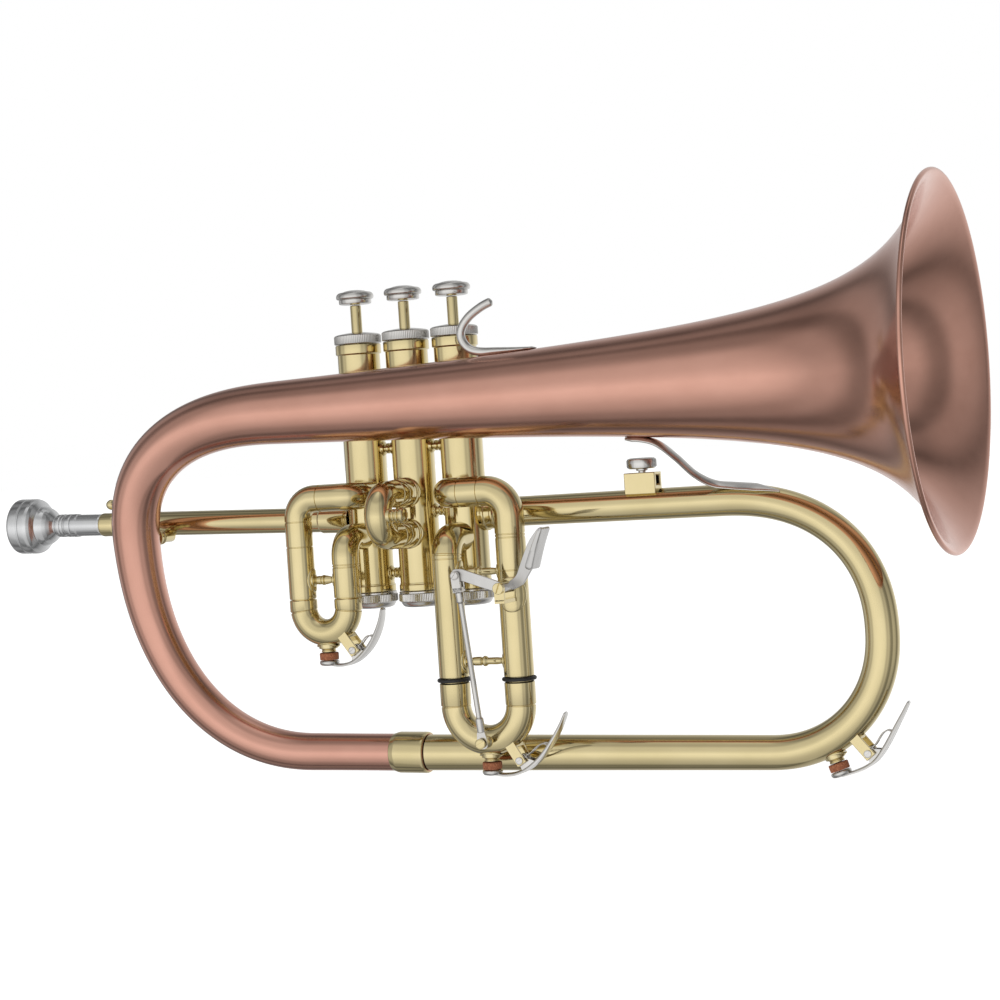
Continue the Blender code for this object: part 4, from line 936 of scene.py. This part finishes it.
def moving_bow(route, radius, gap, ferrule, inner_length):
    """Profile of a moving slide bow: inner legs, ferrules with soft edges, and the bow between them."""
    leg = radius - SLIDE_WALL - LEG_PLAY
    start = inner_length + gap
    end = start + ferrule
    half = [(0.0, leg), (start - 0.05, leg), (start, radius - 0.35), (start + 0.3, radius - 0.05),
            (start + 0.5, radius + 0.1), (end - 0.5, radius + 0.1), (end - 0.3, radius - 0.02),
            (end - 0.12, radius - 0.38), (end + 0.12, radius - 0.38), (end + 0.3, radius - 0.05)]
    bend = end + 0.5
    count = 60
    mid = [(bend + (route.total - 2 * bend) * k / count, radius - 0.05) for k in range(count + 1)]
    outer = half + mid + [(route.total - s, r) for s, r in half[::-1]]
    inner = [(route.total - route.total * k / 80, leg - 0.6) for k in range(81)]
    return outer + inner


def u_route(first, second, down, reach):
    """Down one leg for reach, half a turn, and back up the other leg."""
    first = Vector(first)
    second = Vector(second)
    half = (second - first) / 2.0
    centre = (first + second) / 2.0 + down * reach
    arc = []
    for k in range(41):
        a = pi * k / 40
        arc.append(centre - half * cos(a) + down * (half.length * sin(a)))
    return Route([first] + arc + [second])


def upright_slide(node, body, slide, leg_end, inside, gap, ferrule):
    """The moving part of an upright slide: its bow with the inner legs and the drain of its water key."""
    left, right, y, bow_z, radius = slide
    top = leg_end + inside
    route = u_route((left, y, top), (right, y, top), -Z, top - bow_z - (right - left) / 2.0)
    shape = Shape()
    shape.sweep(route, moving_bow(route, radius, gap, ferrule, inside))
    add_nipple(shape, slide_key_foot(*slide), -Z, X, radius)
    fine(node, shape, body=body)


def make_slide_1():
    fixed_tube("slide1_upper", S1_Y, [(S1_PORT_X, S1_TOP_Z), (S1_LEFT_X, S1_TOP_Z), (S1_LEFT_X, S1_LEG_END)],
               [7.5, 9.0], S1_R, [(-34.2, S1_TOP_Z), (S1_LEFT_X, -49.2), (S1_LEFT_X, -60.4)])
    fixed_tube("slide1_lower", S1_Y, [(S1_RIGHT_X, S1_LOW_PORT_Z), (S1_RIGHT_X, S1_LEG_END)],
               [8.0], S1_R, [(S1_RIGHT_X, -69.0), (S1_RIGHT_X, -70.1)])
    leg_brace("slide1_brace", SLIDE_1, S1_BRACE_Z, 2.09)
    upright_slide("slide1", "first_slide", SLIDE_1, S1_LEG_END, S1_INSIDE, GAP, FERRULE_H)


def make_slide_2():
    inner = S2_R - SLIDE_WALL
    sleeve = [(inner, 8.6), (S2_R + 0.7, 8.6), (S2_R + 0.7, 10.6), (S2_R, 11.0), (S2_R, 13.6),
              (S2_R + 0.2, 13.9), (S2_R + 0.2, -S2_LEG_END), (inner, -S2_LEG_END)]
    for node, z in (("slide2_upper", S2_TOP_Z), ("slide2_lower", S2_LOW_Z)):
        turned(node, sleeve, (0, 0, z), -Y, 0.2, True)
    start = S2_LEG_END + S2_INSIDE
    reach = start - S2_BOW_Y - (S2_TOP_Z - S2_LOW_Z) / 2.0
    route = u_route((0, start, S2_TOP_Z), (0, start, S2_LOW_Z), -Y, reach)
    shape = Shape()
    shape.sweep(route, moving_bow(route, S2_R, GAP, S2_FERRULE_H, S2_INSIDE))
    knob = [(0, -1.2), (3.3, -1.2), (3.3, 0.5), (2.2, 0.9), (2.2, 1.3), (3.0, 1.7), (3.0, 2.3), (2.4, 2.6),
            (2.4, 3.0), (3.2, 3.4), (3.2, 4.1), (2.5, 4.4), (2.5, 4.8), (3.5, 5.3), (3.5, 6.5), (2.9, 7.1),
            (1.6, 7.5), (0, 7.5)]
    shape.turn(knob, (S2_R, S2_BOW_Y, (S2_TOP_Z + S2_LOW_Z) / 2.0), X, 0.22, seg=48)
    fine("slide2", shape, body="second_slide")


def make_oring(side, x):
    z = S3_LEG_END - GAP - ORING_H / 2.0
    inner = S3_R - SLIDE_WALL - LEG_PLAY + GAP
    outer = S3_R + 1.0
    line = []
    for k in range(20):
        a = 2.0 * pi * k / 20
        line.append((z + ORING_H / 2.0 * sin(a), (inner + outer + (outer - inner) * cos(a)) / 2.0))
    shape = Shape()
    shape.sweep(straight((x, S3_Y, 0), Z), line)
    fine("oring_" + side, shape, "rubber", "third_slide")


def make_slide_3():
    fixed_tube("slide3_upper", S3_Y, [(S3_LEFT_X, S3_TOP_Z), (S3_RIGHT_X, S3_TOP_Z),
                                      (S3_RIGHT_X, S3_LEG_END)], [8.0, 10.5], S3_R,
               [(33.5, S3_TOP_Z), (43.0, S3_TOP_Z), (S3_RIGHT_X, -59.0), (S3_RIGHT_X, -60.4),
                (S3_RIGHT_X, -74.5)])
    fixed_tube("slide3_lower", S3_Y, [(S3_LEFT_X, S3_LOW_PORT_Z), (S3_LEFT_X, S3_LEG_END)],
               [8.0], S3_R, [(S3_LEFT_X, -67.1), (S3_LEFT_X, -68.5)])
    for i, z in enumerate(S3_BRACE_Z):
        leg_brace("slide3_brace_%d" % (i + 1), SLIDE_3, z, 1.52)
    make_oring("left", S3_LEFT_X)
    make_oring("right", S3_RIGHT_X)
    upright_slide("slide3", "third_slide", SLIDE_3, S3_LEG_END, S3_INSIDE, ORING_H + 2 * GAP, LONG_FERRULE_H)


# --- water keys

def slide_key_foot(left, right, y, bow_z, radius):
    return Vector(((left + right) / 2.0, y, bow_z - radius + 0.1))


def key_point(foot, turn, scale, x, z):
    """A place on a water key: x along the lever and z up from the nipple foot, turned and scaled."""
    c = cos(turn)
    s = sin(turn)
    return foot + Vector((x * c - z * s, 0, x * s + z * c)) * scale


def add_nipple(shape, foot, down, along, tube_r):
    """The drain of a water key: an oval plate on the tube and a waisted, bored nipple."""
    down = down.normalized()
    shape.flange(foot - down * (tube_r - 0.05), along, tube_r, down, 5.3, 4.6, 0.5)
    nipple = [(1.4, -1.0), (4.3, -1.0), (4.3, 0.9), (3.3, 1.3), (3.0, 1.7), (3.3, 2.1), (3.3, 2.6),
              (1.4, 2.6)]
    shape.turn(nipple, foot, down, 0.2, True, 40)


def make_key(name, foot, turn, scale, bow_centre, tube_r, bodies, hinge, line):
    """One water key: saddle on the tube, lever with its cup, screw and springs, and cork."""
    pivot = key_point(foot, turn, scale, *hinge)
    down = (key_point(foot, turn, 1.0, 0, -1) - foot).normalized()
    radial = (pivot - bow_centre).normalized()
    bow_r = (foot - bow_centre).length - tube_r
    make_key_saddle(name, pivot, bow_centre + radial * (bow_r + tube_r), radial, bodies[0])
    make_key_lever(name, foot, turn, scale, pivot, down, hinge, line, bodies[1])
    cork = [(0, 2.95), (4.1, 2.95), (4.25, 3.4), (4.2, CUP_TOP - GAP), (0, CUP_TOP - GAP)]
    turned(name + "_cork", cork, foot, down, 0.3, seg=48, look="cork", body=bodies[1])


def make_key_saddle(name, pivot, surface, radial, body):
    """A folded brass saddle: a bridge on the tube, two square ears past its sides, and the axle."""
    height = (pivot - surface).length + 1.9
    width = KEY_WIDTH + 3.0
    back = 2.8
    axes = (Y.cross(radial).normalized(), Y, radial)
    shape = Shape()
    shape.block(surface + radial * 0.1, (4.6, width - 0.4, 1.6), axes)
    for side in (-1, 1):
        ear = surface + radial * ((height - back) / 2.0) + Y * (side * (width / 2.0 - 0.55))
        shape.block(ear, (4.6, 1.1, height + back), axes)
    half = width / 2.0 - 0.1
    shape.turn([(0, -half), (0.9, -half), (0.9, half), (0, half)], pivot, Y, 0.1, seg=24)
    fine(name + "_saddle", shape, body=body, bevel=0.18)


def make_key_lever(name, foot, turn, scale, pivot, down, hinge, line, body):
    """A nickel lever: cup, cheeks and barrel at the hinge, wire springs, and a half-round finger end."""
    lever = Route(curve_through([key_point(foot, turn, scale, x, z) for x, z in line], 8), Y)

    def sizes(share):
        wide = 3.2 + (KEY_WIDTH - 2.2) * sin(pi * share * 0.95) ** 0.8
        tip = min(1.0, sqrt(max(1.0 - share, 0.0) / 0.03) + 0.25)
        return wide * tip, (1.1 + 0.7 * sin(pi * share)) * tip

    shape = Shape()
    shape.bar(lever, sizes, HALF_ROUND, Y, 60)
    cup = [(0, CUP_TOP), (4.1, CUP_TOP), (4.45, CUP_TOP + 0.5), (4.45, CUP_TOP + 1.2), (3.9, CUP_TOP + 2.0),
           (2.2, CUP_TOP + 2.4), (0, CUP_TOP + 2.5)]
    shape.turn(cup, foot, down, 0.25, seg=48)
    root = line[3]
    cheek = [(hinge[0] - 1.8, hinge[1] + 0.4), (hinge[0] + 0.4, hinge[1] + 1.9),
             (root[0] + 3.4, root[1] + 3.2), (root[0], root[1] + 0.3), (root[0] - 3.6, root[1] - 1.4)]
    cheek = [key_point(Vector((0, 0, 0)), turn, scale, x, z) for x, z in cheek]
    for side in (-1, 1):
        shape.plate([(p.x, p.z) for p in cheek], 0.9, foot + Y * (side * 2.2), X, Z)
    half = KEY_WIDTH / 2.0
    shape.turn([(1.25, -half), (1.9, -half), (1.9, half), (1.25, half)], pivot, Y, 0.2, True, 40)
    add_springs(shape, foot, turn, scale, hinge, line)
    shape.screw_head(pivot - Y * (half + 1.45), -Y, 1.6, 0.9, 0.6, 0.5)
    fine(name + "_lever", shape, "nickel", body)


def add_springs(shape, foot, turn, scale, hinge, line):
    """Two thin wires that coil on the barrel and bear on the lever."""
    start = Vector(hinge)
    end = Vector(line[4]).lerp(Vector(line[5]), 0.6)
    run = end - start
    aside = Vector((-run.y, run.x)).normalized()
    for lift in (-1.3, 1.3):
        wire = []
        for k in range(17):
            a = pi * 2.0 * k / 8 + 0.8
            coil = start + Vector((cos(a), sin(a))) * (2.25 / scale)
            wire.append(key_point(foot, turn, scale, coil.x, coil.y) + Y * (lift * (0.7 + 0.03 * k)))
        for share, out in ((0.35, 1.2), (0.7, 2.6), (0.92, 2.2), (1.0, 0.6)):
            p = start + run * share + aside * out
            wire.append(key_point(foot, turn, scale, p.x, p.y) + Y * lift)
        route = Route(curve_through(wire, 5), Y)
        shape.sweep(route, [(route.total * k / 110, 0.3) for k in range(111)], False, 10)


def make_water_keys():
    for name, slide, bodies, hinge, line in (
            ("key1", SLIDE_1, ("first_slide", "water_key_1"), SLIDE_1_KEY_HINGE, SLIDE_1_KEY_LINE),
            ("key3", SLIDE_3, ("third_slide", "water_key_3"), SLIDE_3_KEY_HINGE, SLIDE_3_KEY_LINE)):
        left, right, y, bow_z, radius = slide
        centre = Vector(((left + right) / 2.0, y, bow_z + (right - left) / 2.0))
        make_key(name, slide_key_foot(*slide), 0.0, KEY_SCALE, centre, radius, bodies, hinge, line)
    centre = Vector((CROOK_BOTTOM.x, MAIN_KEY_FOOT.y, CROOK_RIGHT[1]))
    make_key("key_main", MAIN_KEY_FOOT, MAIN_KEY_TURN, MAIN_KEY_SCALE, centre, MAIN_KEY_TUBE_R,
             ("body", "water_key_main"), MAIN_KEY_HINGE, MAIN_KEY_LINE)


# --- trigger

def make_trigger_saddle():
    """Curved patch on the leg, a folded bracket, and the slotted pivot screw."""
    p = TRIGGER_PIVOT
    front = S3_Y - S3_R
    leg = Vector((S3_RIGHT_X, S3_Y, p.z - 3.6))
    shape = Shape()
    shape.flange(leg, Z, S3_R + 0.02, Vector((0.25, -1, 0)), 7.6, 7.2, 0.6, 64)
    floor_z = p.z - 5.6
    reach = (p.y - 6.4, front - 0.2)
    shape.block((p.x, sum(reach) / 2.0, floor_z), (4.6, reach[1] - reach[0], 1.6))
    ear = soften([(-2.3, -5.6), (2.3, -5.6), (2.3, 1.2), (0.9, 2.4), (-0.9, 2.4), (-2.3, 1.2)], 1.0, 4, True)
    for y in (p.y - 5.8, front - 1.3):
        shape.plate(ear, 1.2, (p.x, y, p.z), X, Z)
    shape.turn([(0, front - 0.8 - p.y), (1.1, front - 0.8 - p.y), (1.1, -6.3), (0, -6.3)], p, Y, 0.1, seg=32)
    shape.screw_head(p - Y * 6.25, -Y, 2.45, 1.45, 1.2, 0.7)
    fine("trigger_saddle", shape, bevel=0.2)


def make_trigger_lever():
    """The flat arm to the rod, the barrel on the pivot, and the upright horn with its thumb pad."""
    p = TRIGGER_PIVOT
    e = TRIGGER_EYE
    arm = soften([(0.6, 2.1), (-1.1, 3.0), (-17.6, 8.9), (-21.4, 8.9), (-22.7, 6.4), (-21.4, 3.9),
                  (-17.1, 3.6), (-8.8, 0.7), (-3.6, -1.0), (0.0, -2.1)], 1.0, 4, True)
    shape = Shape()
    shape.plate(arm, 1.4, (p.x, e.y, p.z), X, Z)
    shape.turn([(1.45, -4.9), (2.3, -4.9), (2.3, 4.3), (1.45, 4.3)], p, Y, 0.25, True, 48)
    horn = soften([(-0.6, -1.8), (2.6, -1.4), (7.0, 0.6), (11.0, 6.4), (14.5, 11.0), (18.5, 22.0),
                   (17.4, 24.8), (15.2, 24.2), (10.6, 18.6), (7.0, 11.0), (4.1, 4.2), (0.0, 2.0)],
                  2.0, 5, True)
    shape.plate(horn, 1.5, (p.x, TRIGGER_HORN_Y, p.z), X, Z)
    line = [(12.4, 7.4), (14.4, 13.0), (16.8, 19.0), (19.4, 24.6)]
    pad = Route(curve_through([(p.x + x, TRIGGER_HORN_Y - 2.4, p.z + z) for x, z in line], 8), Y)

    def sizes(share):
        end = min(1.0, sqrt(max(min(share, 1.0 - share), 0.0) / 0.06) * 0.6 + 0.4)
        return 10.0 * (0.9 + 0.1 * end), (3.6 - 2.0 * share) * end

    shape.bar(pad, sizes, FLAT, Y, 48)
    fine("trigger_lever", shape, "brushed", "trigger", 0.25)


def make_rod():
    """Connecting rod: fork and screw at the arm, thin rod, barrel, and a flat tongue at the lug."""
    e = TRIGGER_EYE
    low = ROD_LUG + Vector((ROD_PLAY, 0, 0))
    d = (low - e).normalized()
    length = (low - e).length
    side = (Y - d * Y.dot(d)).normalized()
    across = side.cross(d).normalized()
    shape = Shape()
    cheek = soften([(-1.9, -0.6), (-1.1, -1.9), (1.1, -1.9), (1.9, -0.6), (1.9, 7.3), (-1.9, 7.3)],
                   0.8, 4, True)
    for lift in (-1.7, 1.7):
        shape.plate(cheek, 1.2, e + side * lift, across, d)
    shape.block(e + d * 6.3, (3.8, 4.6, 2.0), (across, side, d))
    shape.turn([(0, -2.3), (1.1, -2.3), (1.1, 2.3), (0, 2.3)], e, side, 0.1, seg=24)
    shape.screw_head(e - side * 2.2, -side, 1.75, 0.9, 0.9, 0.6)
    shape.turn([(0, 7.0), (1.8, 7.5), (1.8, 11.4), (1.5, 11.9), (1.2, 12.2), (1.2, length - 11.4),
                (1.5, length - 11.2), (1.8, length - 10.7), (1.8, length - 5.0), (0, length - 4.4)],
               e, d, 0.2, seg=32)
    tongue = soften([(-2.3, -1.2), (-1.3, -2.3), (1.3, -2.3), (2.3, -1.2), (2.3, 1.6), (1.7, 5.4),
                     (-1.7, 5.4), (-2.3, 1.6)], 0.9, 4, True)
    shape.plate(tongue, 1.6, low, across, -d)
    fine("trigger_rod", shape, "nickel", "rod", 0.15)


def make_rod_lug():
    """The post on the third slide's bow that holds the lower end of the rod."""
    y = S3_Y - S3_R
    low = ROD_LUG
    reach = low.y + 1.4 - y
    shape = Shape()
    shape.turn([(0, 0.9), (2.6, 0.9), (2.6, -0.6), (1.8, -1.4), (1.7, reach), (0, reach)],
               (low.x, y, low.z), Y, 0.3, seg=40)
    shape.turn([(0, 0), (0.8, 0), (0.8, 4.0), (0, 4.0)], (low.x, low.y + 2.0, low.z), -Y, 0.1, seg=24)
    shape.screw_head((low.x, low.y - 1.5, low.z), -Y, 2.25, 1.2, 0.5, 0.7)
    fine("rod_lug", shape, body="third_slide")


# --- fittings

def make_finger_hook():
    """A round nickel rod bent to a hook, its foot flattened along the top of the bell."""
    top = flare_radius(66.0)
    line = [(74.6, 0.75), (65.8, 0.7), (56.2, 0.8), (48.4, 1.0), (43.2, 2.9), (40.2, 7.0), (40.4, 11.4),
            (44.1, 16.1), (50.2, 20.0), (55.6, 22.1)]
    route = Route(curve_through([Vector((x, BELL_Y, top + z)) for x, z in line], 8), Y)

    def sizes(share):
        flat = min(max(1.15 - share / 0.36, 0.0), 1.0)
        tip = min(1.0, sqrt(max(1.0 - share, 0.0) / 0.025) + 0.2)
        foot = min(1.0, 0.2 + share / 0.04)
        return (HOOK_THICK + 2.2 * flat) * tip * foot, (HOOK_THICK - 2.3 * flat) * tip * foot

    shape = Shape()
    shape.bar(route, sizes, CIRCLE, Y, 90)
    fine("finger_hook", shape, "nickel")


def make_s_bracket():
    """A strap from the underside of the bell down to the front of the main tube, pointed at its end."""
    line = [(x, BELL_Y, -(flare_radius(x) + 0.8)) for x in (112.0, 119.0)]
    line += [(125.5, -26.5, -24.7), (131.0, -20.0, -31.0), (136.0, -12.0, -38.5), (142.0, -6.6, -42.9),
             (150.0, -4.7, -44.3), (160.0, -4.5, -45.5), (170.0, -4.4, -47.7)]
    route = Route(curve_through(line, 8), Vector((0.1, 1, 0.35)))

    def sizes(share):
        end = min(1.0, 0.3 + share / 0.06, 0.12 + (1.0 - share) / 0.16)
        spread = min(max((share - 0.5) / 0.25, 0.0), 1.0)
        return (4.6 + 2.0 * spread) * end, (1.9 - 0.4 * spread) * (0.5 + 0.5 * end)

    shape = Shape()
    shape.bar(route, sizes, CIRCLE, Vector((0.1, 1, 0.45)), 90)
    fine("s_bracket", shape, "nickel")


def make_lyre_holder():
    """A brass block with a square socket through it and a thick knurled thumbscrew on top."""
    x = LYRE_X
    y = LYRE_Y
    base = CROOK_TOP_Z + MAIN_R_TOP
    low = base - 1.9
    high = base + 7.3
    outer = [(-4.3, low), (4.3, low), (4.3, high), (-4.3, high)]
    hole = [(-2.5, base + 1.6), (2.5, base + 1.6), (2.5, base + 6.2), (-2.5, base + 6.2)]
    rings = []
    for half, section in ((-7.0, outer), (7.0, outer), (7.0, hole), (-7.0, hole)):
        rings.append([Vector((x + half, y + p, z)) for p, z in section])
    shape = Shape()
    shape.loft(rings, rings, True)
    fine("lyre_box", shape, bevel=0.35)
    line = [(-2.2, 0), (-2.2, 1.6), (0.3, 1.6), (0.6, 2.6), (1.2, 2.6), (1.3, 5.5), (1.7, 6.1), (2.3, 6.45),
            (4.9, 6.45), (5.5, 6.1), (5.9, 5.4), (6.05, 4.4), (5.9, 3.0), (5.9, 0)]
    screw = Shape()
    screw.sweep(straight((x, y, high + GAP), Z), line, False, 72, (7, 8, 0.3))
    fine("lyre_screw", screw, "nickel", "lyre_thumbscrew")


# --- studio

def make_floor(lowest):
    """A very large pale floor just under the part."""
    half = FLOOR_SIZE * MM / 2.0
    mesh = bpy.data.meshes.new("floor")
    corners = [(-half, -half), (half, -half), (half, half), (-half, half)]
    mesh.from_pydata([(x, y, lowest) for x, y in corners], [], [(0, 1, 2, 3)])
    n = Nodes(bpy.data.materials.new("floor_white"))
    set_inputs(n.shader, {"Base Color": (0.92, 0.92, 0.92, 1.0), "Roughness": 0.9,
                          "Emission Color": (1.0, 1.0, 1.0, 1.0), "Emission Strength": 0.75})
    mesh.materials.append(n.owner)
    floor = add_object("floor", mesh)
    floor.visible_glossy = False


def make_light():
    """A soft studio light, brighter in front and dim behind, white to look at."""
    world = bpy.data.worlds.new("studio")
    bpy.context.scene.world = world
    n = Nodes(world)
    split = n.add("ShaderNodeSeparateXYZ")
    n.wire(n.add("ShaderNodeTexCoord").outputs["Generated"], split.inputs["Vector"])
    height = split.outputs["Z"]
    upright = n.ramp(n.math("MULTIPLY_ADD", height, 0.5, 0.5), [
        (0.0, 0.46), (0.12, 0.56), (0.24, 0.72), (0.36, 0.92), (0.49, 1.0), (0.56, 0.86), (0.66, 0.72),
        (0.80, 0.68), (0.87, 0.46), (0.93, 0.50), (1.0, 0.78)])
    level = n.math("SQRT", n.math("SUBTRACT", 1.0, n.math("MULTIPLY", height, height)))
    facing = n.math("ADD", n.math("MULTIPLY", split.outputs["X"], -0.08),
                    n.math("MULTIPLY", split.outputs["Y"], -0.997))
    turned = n.math("DIVIDE", facing, n.math("MAXIMUM", level, 0.05))
    around = n.ramp(n.math("MULTIPLY_ADD", turned, 0.5, 0.5), [
        (0.0, 0.85), (0.12, 0.50), (0.21, 0.18), (0.32, 0.45), (0.46, 0.52), (0.54, 0.24), (0.64, 0.28),
        (0.74, 0.60), (0.83, 0.55), (0.90, 0.90), (1.0, 1.0)])
    glow = n.math("MULTIPLY", n.math("MULTIPLY", upright, around), 1.2)
    shown = n.add("ShaderNodeMix", {"B": 1.0})
    n.wire(n.add("ShaderNodeLightPath").outputs["Is Camera Ray"], shown.inputs["Factor"])
    n.wire(glow, shown.inputs["A"])
    n.wire(shown.outputs["Result"], n.tree.nodes["Background"].inputs["Color"])


def make_camera():
    """A long lens at the player's right, turned a little towards the mouthpiece."""
    forward = Vector((-sin(CAMERA_TURN) * cos(CAMERA_TILT),
                      cos(CAMERA_TURN) * cos(CAMERA_TILT), -sin(CAMERA_TILT)))
    level = Vector((cos(CAMERA_TURN), sin(CAMERA_TURN), 0))
    upward = level.cross(forward)
    right = level * cos(CAMERA_ROLL) - upward * sin(CAMERA_ROLL)
    top = level * sin(CAMERA_ROLL) + upward * cos(CAMERA_ROLL)
    data = bpy.data.cameras.new("camera")
    data.lens = CAMERA_LENS
    data.clip_end = 100.0
    camera = add_object("camera", data)
    turn = Matrix((right, top, -forward)).transposed().to_4x4()
    camera.matrix_world = Matrix.Translation(CAMERA_PLACE * MM) @ turn
    bpy.context.scene.camera = camera


def make_studio(lowest):
    bpy.context.scene.view_settings.view_transform = "Standard"
    make_floor(lowest - FLOOR_DROP * MM)
    make_light()
    make_camera()


# --- build

for index in (1, 2, 3):
    make_casing(index)
    make_top_cap(index)
    make_bottom_cap(index)
    make_piston(index)
    make_button(index)
for left_index, place, z in CASING_BRACES:
    make_casing_brace(left_index, place, z)
for make in (make_bell, make_tail_ferrule, make_main_tube, make_leadpipe, make_mouthpipe, make_mouthpiece,
             make_clamp, make_bow_brace, make_slide_1, make_slide_2, make_slide_3, make_water_keys,
             make_trigger_saddle, make_trigger_lever, make_rod, make_rod_lug, make_finger_hook,
             make_s_bracket, make_lyre_holder):
    make()
make_studio(cad_box[0][2])
